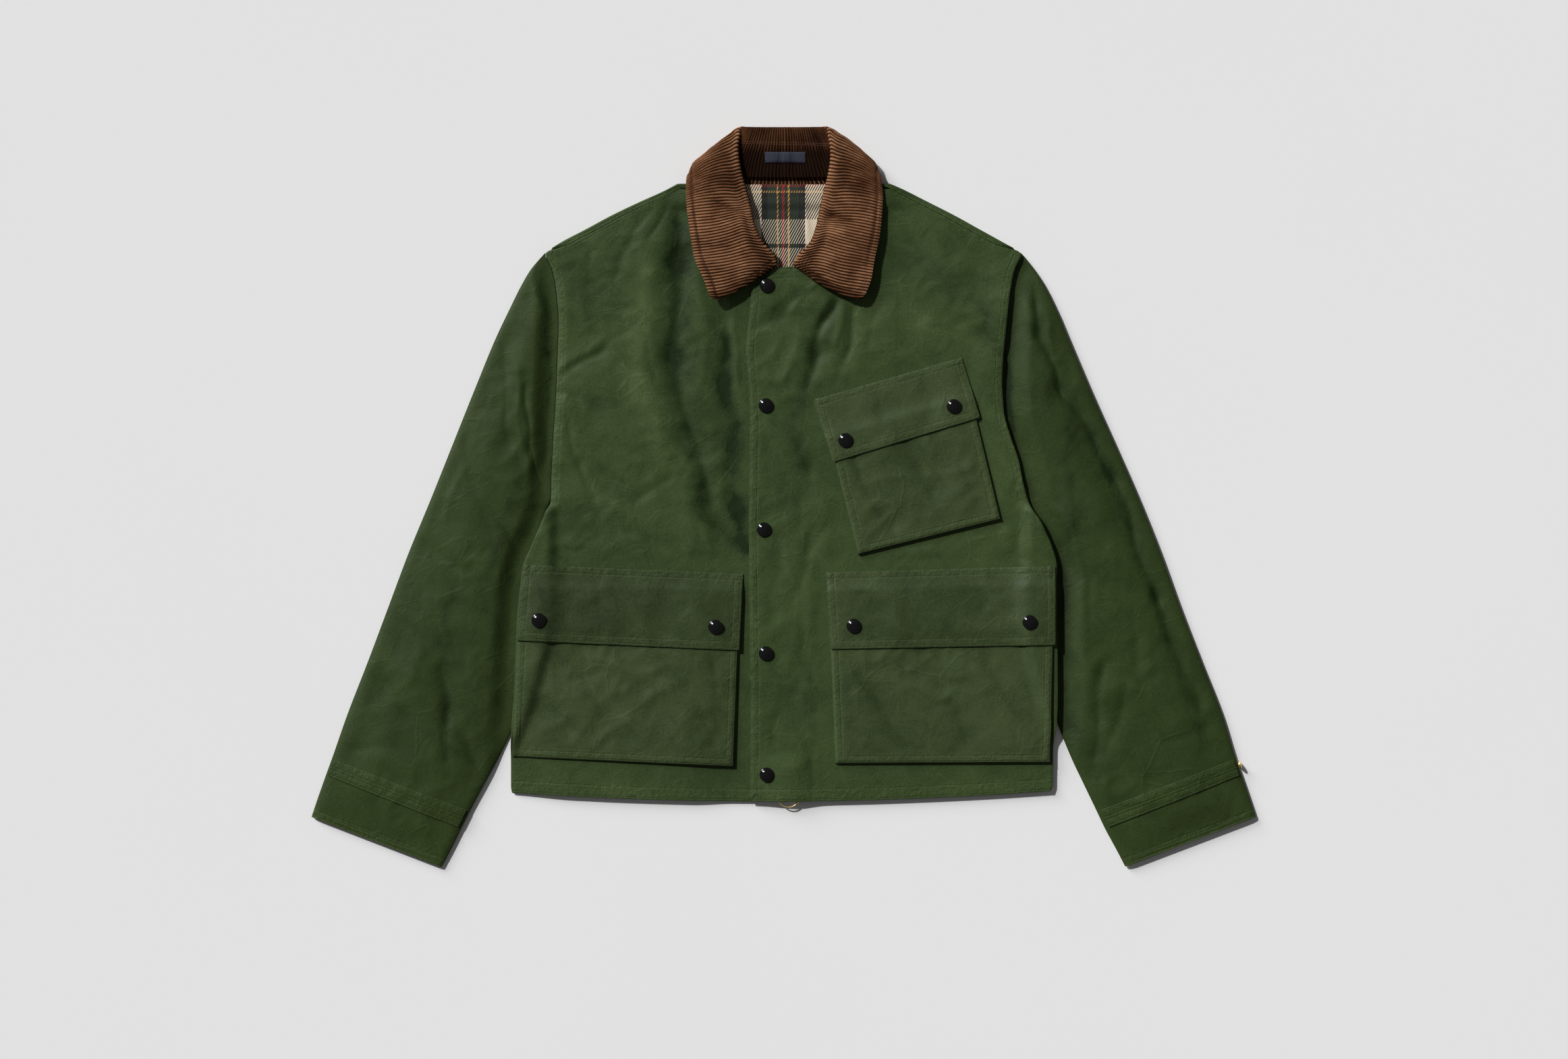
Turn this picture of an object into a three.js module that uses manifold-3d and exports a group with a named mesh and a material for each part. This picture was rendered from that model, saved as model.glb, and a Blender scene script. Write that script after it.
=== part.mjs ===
import * as THREE from 'three';
import Module from 'manifold-3d';

const wasm = await Module();
wasm.setup();

// Waxed cotton jacket laid flat with its front up, in millimetres.
// +Z is up from the surface, +Y runs from the hem to the collar, and +X is the wearer's left.

// Driving sizes
const CLOTH = 1.5;
const FLAP_CLOTH = 1.8;
const CORDUROY = 2.4;
const SEAM_GAP = 0.3;
const HEM_Y = -306;
const HEM_MIDDLE_X = -15;
const SHOULDER_LAP = 12.5;
const SIDE_RISE = 5.3;
const NECK_RISE = 2.7;
const SLEEVE_TOP = 6.9;
const TUCKED_TOP = 5.0;
const SNAP_RADIUS = 7.5;
const SNAP_HEIGHT = 3.8;
const RING_OUTER = 11.85;
const RING_WIRE = 0.65;
const ZIP_X = 5.3;
const RING_CENTRE_Y = -309.4;

// Half outline of the body from the hem up to the neck: side seam, armhole, then shoulder
const BODY_EDGE = [
  { y: -306, right: -282, left: 277 },
  { y: -299, right: -283, left: 279 },
  { y: -285, right: -283, left: 279.2 },
  { y: -260, right: -283, left: 279.5 },
  { y: -235, right: -282, left: 283 },
  { y: -200, right: -279.5, left: 284 },
  { y: -175, right: -278.5, left: 283.8 },
  { y: -150, right: -277.5, left: 283.5 },
  { y: -120, right: -276, left: 283.3 },
  { y: -95, right: -273.5, left: 283.2 },
  { y: -72, right: -270.5, left: 283 },
  { y: -50, right: -261.5, left: 277.5 },
  { y: -34, right: -254.5, left: 270.5 },
  { y: -22, right: -249.6, left: 264.5 },
  { y: -13, right: -246, left: 258 },
  { y: -5, right: -241.5, left: 254 },
  { y: 20, right: -241, left: 247 },
  { y: 40, right: -240, left: 243 },
  { y: 60, right: -239, left: 236 },
  { y: 90, right: -237, left: 228 },
  { y: 120, right: -235.5, left: 226.5 },
  { y: 150, right: -234.5, left: 228 },
  { y: 180, right: -233.5, left: 231 },
  { y: 215, right: -236, left: 235 },
  { y: 235, right: -240, left: 239 },
  { y: 253, right: -247, left: 246 },
  { y: 264, right: -231.4, left: 227.9 },
  { y: 278, right: -204.8, left: 202.7 },
  { y: 292, right: -178.9, left: 177.5 },
  { y: 307, right: -147.5, left: 148 },
  { y: 319, right: -121, left: 124 },
  { y: 327, right: -106, left: 105 },
];
const ARMHOLE_Y = [253, 235, 215, 180, 150, 120, 90, 60, 40, 20, -5];
const UNDERARM_Y = -5;
const SHOULDER_Y = 253;

// Neck edge of each front, and the centre edges: the fly laps over the wearer's right front
const NECK_EDGE = [
  { y: 236, right: -14, left: 12 },
  { y: 240, right: -20, left: 20 },
  { y: 253, right: -42, left: 43 },
  { y: 272, right: -59, left: 60 },
  { y: 292, right: -71, left: 72 },
  { y: 308, right: -78, left: 79 },
  { y: 322, right: -82, left: 83 },
];
const FLY_EDGE = [
  { y: -306, x: -34.5 },
  { y: -200, x: -34 },
  { y: -100, x: -35.5 },
  { y: -30, x: -36 },
  { y: 83, x: -34.5 },
  { y: 113, x: -35.5 },
  { y: 150, x: -39 },
  { y: 168, x: -38 },
  { y: 183, x: -36 },
  { y: 218, x: -33 },
  { y: 221, x: -23 },
  { y: 237, x: -11 },
  { y: 240, x: 20 },
];
const UNDERLAP_EDGE = [
  { y: -306, x: 18 },
  { y: 215, x: 18 },
  { y: 228, x: 3 },
  { y: 236, x: -14 },
];

// Sleeve rings from the cuff to the armhole: height of the outer end, then the inner end on each side
const SLEEVE_RINGS = [
  { oy: -331, rx: -354.5, ry: -383, lx: 354, ly: -382.5, bow: 0, top: 5.6 },
  { oy: -316, rx: -346, ry: -367, lx: 346, ly: -367, bow: 0, top: 6.0 },
  { oy: -292, rx: -333.5, ry: -342, lx: 333, ly: -343, bow: 0, top: 6.3 },
  { oy: -270, rx: -324, ry: -323, lx: 324, ly: -324, bow: 0, top: 6.5 },
  { oy: -233, rx: -310, ry: -297, lx: 311, ly: -297, bow: 0, top: 6.9 },
  { oy: -195, rx: -294, ry: -267, lx: 296.5, ly: -266, bow: 0, top: 6.9 },
  { oy: -152, rx: -272, ry: -216, lx: 278, ly: -216, bow: 0, top: 6.9 },
  { oy: -104, rx: -256, ry: -158, lx: 263, ly: -158, bow: 0, top: 6.9 },
  { oy: -54, rx: -249.5, ry: -104, lx: 259, ly: -104, bow: 0, top: 6.9 },
  { oy: -2, rx: -247.6, ry: -62, lx: 258.4, ly: -62, bow: 0.03, top: 6.9 },
  { oy: 50, rx: -247.1, ry: -36, lx: 258.6, ly: -36, bow: 0.08, top: 6.9 },
  { oy: 106, rx: -246.9, ry: -17, lx: 258.9, ly: -17, bow: 0.18, top: 6.9 },
  { oy: 160, rx: -245.4, ry: -11.5, lx: 257.8, ly: -12, bow: 0.36, top: 6.9 },
  { oy: 205, rx: -244, ry: -8.8, lx: 256.6, ly: -9.2, bow: 0.6, top: 6.6 },
  { oy: 236, rx: -242.9, ry: -6.8, lx: 255.5, ly: -7, bow: 0.83, top: 6.0 },
  { oy: 253, rx: -242, ry: -5, lx: 254.6, ly: -5, bow: 1, top: 5.0 },
];
const SLEEVE_OUTER = [
  { y: -331, right: -489.4, left: 489.4 },
  { y: -316, right: -484.4, left: 484.4 },
  { y: -292, right: -476, left: 476.2 },
  { y: -270, right: -468, left: 468.5 },
  { y: -226, right: -452.6, left: 455 },
  { y: -170, right: -430.9, left: 433 },
  { y: -114, right: -409.9, left: 411.3 },
  { y: -58, right: -388.9, left: 391 },
  { y: -2, right: -365.8, left: 368.6 },
  { y: 54, right: -343.4, left: 344 },
  { y: 110, right: -321, left: 318.9 },
  { y: 166, right: -297.9, left: 295 },
  { y: 194, right: -284.6, left: 283.2 },
  { y: 222, right: -270.6, left: 269.2 },
  { y: 236, right: -262.2, left: 260 },
  { y: 253, right: -247.6, left: 246.6 },
];

// Largest folds: a ridge stands up and a trough sinks by depth, width across each way from its line
const FOLDS_RIGHT = [
  { x0: -113, y0: 300, x1: -119, y1: 235, width: 15, depth: -1.9 },
  { x0: -119, y0: 235, x1: -108, y1: 150, width: 17, depth: -2.3 },
  { x0: -108, y0: 150, x1: -93, y1: 60, width: 16, depth: -2.1 },
  { x0: -93, y0: 60, x1: -52, y1: -40, width: 13, depth: -1.8 },
  { x0: -60, y0: 190, x1: -47, y1: 115, width: 9, depth: 0.9 },
  { x0: -226, y0: 150, x1: -196, y1: 162, width: 9, depth: -1.0 },
  { x0: -226, y0: 50, x1: -200, y1: 5, width: 10, depth: -1.1 },
  { x0: -215, y0: -20, x1: -150, y1: -52, width: 11, depth: -0.9 },
];
const FOLDS_LEFT = [
  { x0: 30, y0: 228, x1: -12, y1: 186, width: 10, depth: -1.5 },
  { x0: 54, y0: 205, x1: 32, y1: 160, width: 10, depth: -1.4 },
  { x0: 32, y0: 160, x1: 20, y1: 60, width: 9, depth: -1.1 },
  { x0: 74, y0: 195, x1: 52, y1: 120, width: 9, depth: -1.0 },
  { x0: 150, y0: 245, x1: 186, y1: 172, width: 15, depth: -1.0 },
  { x0: 206, y0: 180, x1: 224, y1: 150, width: 9, depth: -1.2 },
  { x0: 30, y0: -50, x1: 14, y1: -150, width: 9, depth: -1.0 },
  { x0: 14, y0: -150, x1: 30, y1: -250, width: 9, depth: -0.9 },
];
const FOLDS_SLEEVE_RIGHT = [
  { x0: -352, y0: -190, x1: -344, y1: -270, width: 12, depth: -1.6 },
  { x0: -344, y0: -225, x1: -316, y1: -275, width: 10, depth: -1.2 },
  { x0: -300, y0: 170, x1: -285, y1: 60, width: 14, depth: -1.0 },
  { x0: -380, y0: -40, x1: -330, y1: -75, width: 13, depth: -0.9 },
  { x0: -420, y0: -190, x1: -380, y1: -235, width: 13, depth: -0.9 },
];
const FOLDS_SLEEVE_LEFT = [
  { x0: 258, y0: 215, x1: 275, y1: 150, width: 9, depth: -1.4 },
  { x0: 275, y0: 150, x1: 345, y1: 20, width: 11, depth: -1.5 },
  { x0: 345, y0: 20, x1: 385, y1: -105, width: 12, depth: -1.3 },
  { x0: 385, y0: -105, x1: 430, y1: -215, width: 13, depth: -1.0 },
  { x0: 330, y0: -180, x1: 322, y1: -265, width: 11, depth: -1.2 },
];

// Collar stations from the front edge round to the middle of the back: turn, radius of the roll, cuts,
// then the neck seam, the roll, the middle and the edge of the leaf. Turn runs from 0, where the leaf
// lies over the front, to 180, where it hangs under the back.
const station = ([turn, roll, cuts, nx, ny, nz, rx, ry, rz, mx, my, mz, ex, ey, ez]) => ({
  turn, roll, cuts, nx, ny, nz, rx, ry, rz, mx, my, mz, ex, ey, ez,
});
const COLLAR_RIGHT = [
  [0, 1.8, 2, -15.5, 240.5, 6.6, -7, 241, 9.4, -44, 216, 14.5, -74.5, 202.8, 17.5],
  [0, 2.2, 2, -30, 248.5, 6.2, -8, 250, 9.6, -48, 234.5, 15, -81.6, 223.5, 17],
  [0, 2.6, 3, -46, 260, 5.9, -21, 264, 10, -57, 253, 15.5, -91.5, 247, 16],
  [0, 2.8, 3, -61, 279, 5.8, -29.3, 281, 10.5, -64, 275, 15.8, -96, 272, 15],
  [0, 3, 2, -71.5, 297, 6.2, -33.5, 300, 11, -68, 296, 16, -98.8, 292, 13.8],
  [0, 3, 2, -77.5, 311, 7.2, -37.5, 316, 11.4, -71, 313, 16, -100.2, 308, 12.8],
  [0, 3, 2, -81, 321, 8.4, -42.5, 334, 11.8, -75, 329, 15.8, -100.5, 320, 12],
  [15, 3, 2, -82.5, 327, 9, -46.3, 355, 11.2, -80, 344, 14.2, -100, 330, 11],
  [50, 2.8, 2, -82, 330, 8.6, -48.6, 373, 9.4, -82.5, 357, 11, -98.6, 336.5, 8.6],
  [90, 2.4, 2, -80, 331.4, 7.8, -49.6, 381.6, 7, -79.5, 362.6, 7, -96, 338.6, 5.8],
  [130, 2.4, 2, -76, 332, 6.8, -47.5, 383.2, 5.1, -75.5, 359, 3.6, -93, 334, 3],
  [180, 2.6, 2, -68, 332.2, 5.9, -42, 383.5, 4.0, -65, 350, 1.6, -86, 325, 1.3],
  [180, 2.6, 2, -50, 332, 5.6, -32, 383.6, 4.0, -46, 346, 1.35, -60, 317.5, 1.3],
  [180, 2.6, 2, -25, 331.6, 5.4, -16, 383.6, 4.0, -22, 345, 1.35, -30, 315, 1.3],
].map(station);
const COLLAR_MIDDLE = station([180, 2.6, 2, 0, 331.5, 5.4, 0, 383.6, 4.0, 0, 345, 1.35, 0, 314.5, 1.3]);
const COLLAR_LEFT = [
  [0, 1.8, 2, 16, 241.5, 8, 9, 241.4, 10.6, 46, 216.5, 15, 81.5, 203.4, 17.5],
  [0, 2.2, 2, 31, 249, 7.6, 14, 250.4, 10.6, 52, 234.5, 15.4, 89.4, 223, 17],
  [0, 2.6, 3, 47, 260, 7.2, 27, 264, 10.8, 60.5, 255, 15.7, 93.8, 247, 16],
  [0, 2.8, 3, 62, 279, 6.8, 33.6, 281, 10.9, 67, 277, 16, 99, 272, 15],
  [0, 3, 2, 72.5, 297, 6.8, 37.5, 300, 11.2, 71, 297, 16, 101, 292, 13.8],
  [0, 3, 2, 78.5, 311, 7.4, 41, 316, 11.5, 74, 314, 16, 102, 308, 12.8],
  [0, 3, 2, 82, 321, 8.4, 45.5, 334, 11.8, 77, 330, 15.8, 101.5, 320, 12],
  [15, 3, 2, 83.5, 327, 9, 48.5, 355, 11.2, 81, 344, 14.2, 100.6, 330, 11],
  [50, 2.8, 2, 83, 330, 8.6, 49.4, 373, 9.4, 83.2, 358.5, 11, 99, 336.5, 8.6],
  [90, 2.4, 2, 81, 331.4, 7.8, 50, 381.6, 7, 82, 364.4, 7, 96.6, 338.6, 5.8],
  [130, 2.4, 2, 77, 332, 6.8, 48, 383.2, 5.1, 76.5, 360, 3.6, 93.5, 334, 3],
  [180, 2.6, 2, 69, 332.2, 5.9, 42.5, 383.5, 4.0, 65.5, 350, 1.6, 86.5, 325, 1.3],
  [180, 2.6, 2, 50, 332, 5.6, 32, 383.6, 4.0, 46, 346, 1.35, 60, 317.5, 1.3],
  [180, 2.6, 2, 25, 331.6, 5.4, 16, 383.6, 4.0, 22, 345, 1.35, 30, 315, 1.3],
].map(station);

// Pockets and flaps: corners bottom left, bottom right, top left, top right, and lift of the four corners
const POCKETS = [
  {
    name: 'pocket_hip_right',
    corners: [[-281.3, -268.5], [-51.5, -279.3], [-272.5, -92], [-44.5, -96]],
    lift: [2.4, 5.3, 2.3, 3.2],
  },
  {
    name: 'pocket_hip_left',
    corners: [[53.5, -275.8], [276.3, -274.8], [46, -96], [280.2, -90]],
    lift: [4.2, 4.6, 3.2, 2.6],
  },
  {
    name: 'pocket_chest',
    corners: [[77, -59.5], [225, -23], [46.5, 62], [194.5, 104]],
    lift: [4.4, 4.6, 2.8, 2.8],
  },
];
const FLAPS = [
  { name: 'flap_hip_right', corners: [[-276.3, -148], [-46, -158.3], [-269.4, -69.6], [-42, -79]] },
  { name: 'flap_hip_left', corners: [[48.5, -157], [281, -152.6], [44, -77.6], [281, -71]] },
  { name: 'flap_chest', corners: [[51, 36.4], [203.5, 82.6], [31, 101], [184.5, 145]] },
];
const SNAPS = [
  { name: 'snap_fly_1', x: -17.3, y: 219.2 },
  { name: 'snap_fly_2', x: -18.5, y: 95.1 },
  { name: 'snap_fly_3', x: -20.3, y: -33.4 },
  { name: 'snap_fly_4', x: -18.4, y: -161.5 },
  { name: 'snap_fly_5', x: -17.5, y: -287 },
  { name: 'snap_hip_right_1', x: -253, y: -127 },
  { name: 'snap_hip_right_2', x: -70.5, y: -134 },
  { name: 'snap_hip_left_1', x: 72.5, y: -133 },
  { name: 'snap_hip_left_2', x: 254, y: -129 },
  { name: 'snap_chest_1', x: 64, y: 59 },
  { name: 'snap_chest_2', x: 176, y: 94 },
];

const lerp = (a, b, t) => a + (b - a) * t;
const clamp = (v, low, high) => Math.min(high, Math.max(low, v));
const ease = (t) => {
  const s = clamp(t, 0, 1);
  return s * s * (3 - 2 * s);
};

// Value of one column of a table at a given place, straight between rows
function lookup(rows, key, column, value) {
  const up = rows[rows.length - 1][key] > rows[0][key];
  for (let i = 0; i < rows.length - 1; i += 1) {
    const a = rows[i];
    const b = rows[i + 1];
    const inside = up ? value <= b[key] : value >= b[key];
    if (inside || i === rows.length - 2) {
      const t = clamp((value - a[key]) / (b[key] - a[key]), 0, 1);
      return lerp(a[column], b[column], t);
    }
  }
  return rows[0][column];
}

// Sum of the folds at one point, each fading at its ends
function folds(table, x, y) {
  let sum = 0;
  for (const f of table) {
    const dx = f.x1 - f.x0;
    const dy = f.y1 - f.y0;
    const length = Math.hypot(dx, dy);
    const along = ((x - f.x0) * dx + (y - f.y0) * dy) / length;
    const across = ((x - f.x0) * dy - (y - f.y0) * dx) / length;
    const past = Math.max(0, -along, along - length);
    sum += f.depth * Math.exp(-((across / f.width) ** 2) - (past / (f.width * 1.3)) ** 2);
  }
  return sum;
}

const material = (color, roughness, metalness) => new THREE.MeshStandardMaterial({
  color: new THREE.Color(...color),
  roughness,
  metalness,
});
const waxed = material([0.048, 0.085, 0.028], 0.55, 0);
const corduroy = material([0.1, 0.045, 0.02], 0.85, 0);
const plaid = material([0.32, 0.24, 0.16], 0.9, 0);
const labelCloth = material([0.02, 0.025, 0.045], 0.8, 0);
const blackGloss = material([0.01, 0.01, 0.012], 0.18, 0);
const brass = material([0.72, 0.52, 0.22], 0.3, 1);

const jacket = new THREE.Group();

function solid(name, points, faces, look) {
  const geometry = new THREE.BufferGeometry();
  geometry.setAttribute('position', new THREE.Float32BufferAttribute(points.flat(), 3));
  geometry.setIndex(faces.flat());
  geometry.computeVertexNormals();
  const mesh = new THREE.Mesh(geometry, look);
  mesh.name = name;
  jacket.add(mesh);
  return { points, faces };
}

// A closed wall between two grids of points, the first facing up where rows run up and columns across
function wall(name, top, under, look) {
  const rows = top.length;
  const cols = top[0].length;
  const points = [...top.flat(), ...under.flat()];
  const at = (i, j) => i * cols + j;
  const low = (i, j) => rows * cols + i * cols + j;
  const faces = [];
  const quad = (a, b, c, d) => faces.push([a, b, c], [a, c, d]);
  for (let i = 0; i < rows - 1; i += 1) {
    for (let j = 0; j < cols - 1; j += 1) {
      quad(at(i, j), at(i, j + 1), at(i + 1, j + 1), at(i + 1, j));
      quad(low(i, j), low(i + 1, j), low(i + 1, j + 1), low(i, j + 1));
    }
  }
  for (let j = 0; j < cols - 1; j += 1) {
    quad(low(0, j), low(0, j + 1), at(0, j + 1), at(0, j));
    quad(low(rows - 1, j + 1), low(rows - 1, j), at(rows - 1, j), at(rows - 1, j + 1));
  }
  for (let i = 0; i < rows - 1; i += 1) {
    quad(low(i + 1, 0), low(i, 0), at(i, 0), at(i + 1, 0));
    quad(low(i, cols - 1), low(i + 1, cols - 1), at(i + 1, cols - 1), at(i, cols - 1));
  }
  return solid(name, points, faces, look);
}

// Highest point of some pieces above a place, and the highest within a small reach of it
function heightAt(pieces, x, y) {
  let best = -Infinity;
  for (const piece of pieces) {
    for (const [ia, ib, ic] of piece.faces) {
      const a = piece.points[ia];
      const b = piece.points[ib];
      const c = piece.points[ic];
      if (Math.min(a[0], b[0], c[0]) > x || Math.max(a[0], b[0], c[0]) < x) continue;
      if (Math.min(a[1], b[1], c[1]) > y || Math.max(a[1], b[1], c[1]) < y) continue;
      const area = (b[0] - a[0]) * (c[1] - a[1]) - (c[0] - a[0]) * (b[1] - a[1]);
      if (Math.abs(area) < 1e-9) continue;
      const u = ((x - a[0]) * (c[1] - a[1]) - (c[0] - a[0]) * (y - a[1])) / area;
      const v = ((b[0] - a[0]) * (y - a[1]) - (x - a[0]) * (b[1] - a[1])) / area;
      if (u < -1e-9 || v < -1e-9 || u + v > 1 + 1e-9) continue;
      best = Math.max(best, a[2] + u * (b[2] - a[2]) + v * (c[2] - a[2]));
    }
  }
  return best;
}
function highest(pieces, x, y, reach) {
  let best = heightAt(pieces, x, y);
  for (let k = 0; k < 8; k += 1) {
    const turn = (k * Math.PI) / 4;
    best = Math.max(best, heightAt(pieces, x + reach * Math.cos(turn), y + reach * Math.sin(turn)));
  }
  return best;
}

// Height of the back panel's inner face, raised over the tucked sleeves and over the collar at the neck
const tucked = (x, y) => (x < 0
  ? -lookup(SLEEVE_RINGS, 'ry', 'rx', y)
  : lookup(SLEEVE_RINGS, 'ly', 'lx', y));
function floorRise(x, y) {
  const side = ease((Math.abs(x) - tucked(x, y) + 15) / 13) * ease((-5 - y) / 10);
  const neck = ease((y - 296) / 10) * ease((130 - Math.abs(x)) / 24);
  return SIDE_RISE * side + NECK_RISE * neck;
}
const hemDrop = (x, y) => {
  const hem = -315 + 10 * ((x - HEM_MIDDLE_X) / 280) ** 2;
  return (hem - HEM_Y) * ease((-262 - y) / (-262 - HEM_Y));
};
const edge = (side, y) => lookup(BODY_EDGE, 'y', side, y);

// Soft mask that is 1 outside a turned rectangle and 0 inside it
function outside(x, y, cx, cy, halfX, halfY, turn) {
  const c = Math.cos(turn);
  const s = Math.sin(turn);
  const u = Math.abs((x - cx) * c + (y - cy) * s) - halfX;
  const v = Math.abs(-(x - cx) * s + (y - cy) * c) - halfY;
  return ease(Math.max(u, v) / 14);
}

// Loft of the fronts: how far their cloth stands off the back
function loftRight(x, y) {
  const rest = 0.5 + 2.3 * ease((-50 - x) / 50) * ease((x + 283) / 60);
  const neck = 1.7 * ease((y - 195) / 15) * ease((306 - y) / 8) * ease((x + 110) / 25);
  const free = outside(x, y, -161, -175, 122, 110, 0) * ease((-44 - x) / 12);
  return clamp(Math.max(rest, neck) + folds(FOLDS_RIGHT, x, y) * free, 0.35, 3.6);
}
function loftLeft(x, y) {
  const rest = lerp(3.3, 2.9, ease((x - 40) / 120));
  const zip = 4.0 * Math.exp(-(((x - ZIP_X) / 22) ** 2)) * ease((-262 - y) / 20);
  const free = outside(x, y, 163, -174, 122, 108, 0) * outside(x, y, 128, 42, 88, 88, 0.27);
  const lowest = lerp(2.9, 0.4, ease((x - 20) / 22));
  const neck = 0.9 * ease((y - 185) / 14) * ease((60 - x) / 25);
  return Math.max(lowest, Math.min(3.6, rest + folds(FOLDS_LEFT, x, y) * free)) + zip + neck;
}
const frontTop = (x, y, loft) => CLOTH + floorRise(x, y) + SEAM_GAP + CLOTH + loft(x, y);
// The same height taken from the back panel's own facets where the front lies straight on it
function frontOver(back, x, y, loft) {
  const facets = y < SHOULDER_Y ? highest([back], x, y, 5) : -Infinity;
  return Math.max(frontTop(x, y, loft), facets + SEAM_GAP + CLOTH + loft(x, y));
}

// Back panel: one wall from the right shoulder wrap across to the left one
function backPanel() {
  const heights = BODY_EDGE.map((row) => row.y).filter((y) => y !== -299 && y < 327);
  heights.push(324.5);
  const top = [];
  const under = [];
  const across = 17;
  for (const y of heights) {
    const outer = [];
    const inner = [];
    const wrap = ease((y - SHOULDER_Y) / 8);
    const ends = [edge('right', y), edge('left', y)];
    const upper = [0, 1].map((k) => {
      const x = ends[k] + (k ? -1 : 1) * SHOULDER_LAP;
      return frontTop(x, y, k ? loftLeft : loftRight);
    });
    const hem = (k) => {
      const list = [];
      const sign = k ? -1 : 1;
      const e = ends[k] + sign * 0.3 * (1 - wrap);
      const zUnder = floorRise(e + sign * 4, y);
      const lap = lerp(0, SHOULDER_LAP, wrap);
      const steps = [
        {
          dx: lap,
          out: lerp(zUnder, upper[k], wrap),
          in: lerp(zUnder + CLOTH, upper[k] - CLOTH, wrap),
          inset: 0,
        },
        {
          dx: lerp(1.5, 4, wrap),
          out: lerp(zUnder, upper[k] - 0.25, wrap),
          in: lerp(zUnder + CLOTH, upper[k] - CLOTH - 0.2, wrap),
          inset: 0.6,
        },
        {
          dx: lerp(3, 0, wrap),
          out: lerp(zUnder, (zUnder + upper[k]) / 2, wrap),
          in: lerp(zUnder + CLOTH, (zUnder + upper[k]) / 2, wrap),
          inset: 2.6,
        },
        { dx: lerp(4.5, 4, wrap), out: zUnder, in: zUnder + CLOTH, inset: 0.6 },
      ];
      for (const s of steps) {
        list.push({
          out: [e + sign * s.dx, y + hemDrop(e, y), s.out],
          in: [e + sign * (s.dx + s.inset * wrap), y + hemDrop(e, y), s.in],
        });
      }
      return list;
    };
    const left = hem(1).reverse();
    for (const p of hem(0)) {
      outer.push(p.out);
      inner.push(p.in);
    }
    const from = ends[0] + 12;
    const to = ends[1] - 12;
    for (let j = 0; j <= across; j += 1) {
      const x = lerp(from, to, j / across);
      const z = floorRise(x, y);
      outer.push([x, y + hemDrop(x, y), z]);
      inner.push([x, y + hemDrop(x, y), z + CLOTH]);
    }
    for (const p of left) {
      outer.push(p.out);
      inner.push(p.in);
    }
    top.push(inner);
    under.push(outer);
  }
  return wall('back_panel', top, under, waxed);
}

// A front panel between its side edge and its centre edge
function frontPanel(name, heights, startX, endX, loft, back) {
  const across = 14;
  const top = [];
  const under = [];
  for (const y of heights) {
    const rowTop = [];
    const rowUnder = [];
    for (let j = 0; j <= across; j += 1) {
      const x = lerp(startX(y), endX(y), j / across);
      const z = frontOver(back, x, y, loft);
      rowTop.push([x, y + hemDrop(x, y), z]);
      rowUnder.push([x, y + hemDrop(x, y), z - CLOTH]);
    }
    top.push(rowTop);
    under.push(rowUnder);
  }
  return wall(name, top, under, waxed);
}
const shoulderInset = (y) => (SHOULDER_LAP + 0.3) * ease((y - SHOULDER_Y) / 8) + 0.3;
const bodyRows = BODY_EDGE.map((row) => row.y).filter((y) => y < 322 && y !== -299);

// Neck part of the lining, on the inner face of the back
function neckLining(back) {
  const rows = [
    { y: 219, half: 13 },
    { y: 229, half: 20 },
    { y: 240, half: 28 },
    { y: 255, half: 40 },
    { y: 270, half: 49 },
    { y: 285, half: 55 },
    { y: 299, half: 58 },
    { y: 305, half: 59 },
    { y: 311, half: 60 },
    { y: 324, half: 60 },
  ];
  const top = [];
  const under = [];
  for (const row of rows) {
    const a = [];
    const b = [];
    for (let j = 0; j <= 8; j += 1) {
      const x = lerp(-row.half, row.half, j / 8);
      const z = highest([back], x, row.y, 4) + SEAM_GAP;
      a.push([x, row.y, z + 1]);
      b.push([x, row.y, z]);
    }
    top.push(a);
    under.push(b);
  }
  return wall('neck_lining', top, under, plaid);
}

// Sleeve: a flattened tube through rings, with both ends open
const sleeveSections = (side) => {
  const left = side === 'left';
  const sign = left ? 1 : -1;
  const table = left ? FOLDS_SLEEVE_LEFT : FOLDS_SLEEVE_RIGHT;
  const span = ARMHOLE_Y[0] - ARMHOLE_Y[10];
  const parts = ARMHOLE_Y.map((y) => (ARMHOLE_Y[0] - y) / span);
  const chord = (t) => lerp(edge(side, SHOULDER_Y), edge(side, UNDERARM_Y), t);
  return SLEEVE_RINGS.map((ring) => {
    const outer = [lookup(SLEEVE_OUTER, 'y', side, ring.oy), ring.oy];
    const inner = left ? [ring.lx, ring.ly] : [ring.rx, ring.ry];
    const place = parts.map((t, k) => [
      lerp(outer[0], inner[0], t) + ring.bow * (edge(side, ARMHOLE_Y[k]) - chord(t)),
      lerp(outer[1], inner[1], t),
    ]);
    const tops = place.map(([x, y], k) => {
      const t = parts[k];
      if (k === 0 || k === 10) return 1.9;
      const width = Math.hypot(inner[0] - outer[0], inner[1] - outer[1]);
      const fromEdge = Math.min(t, 1 - t) * width;
      const round = Math.sqrt(ease(clamp(fromEdge / 46 + 0.12, 0, 1)));
      const beside = sign * x - Math.abs(edge(side, clamp(y, -306, 253)));
      const cap = lerp(TUCKED_TOP, SLEEVE_TOP, ease((beside - 4) / 24));
      const crown = lerp(3.9, Math.min(ring.top, cap), round);
      return clamp(crown + folds(table, x, y) * ease((beside - 2) / 12), 3.5, SLEEVE_TOP);
    });
    return { place, tops };
  });
};
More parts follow.
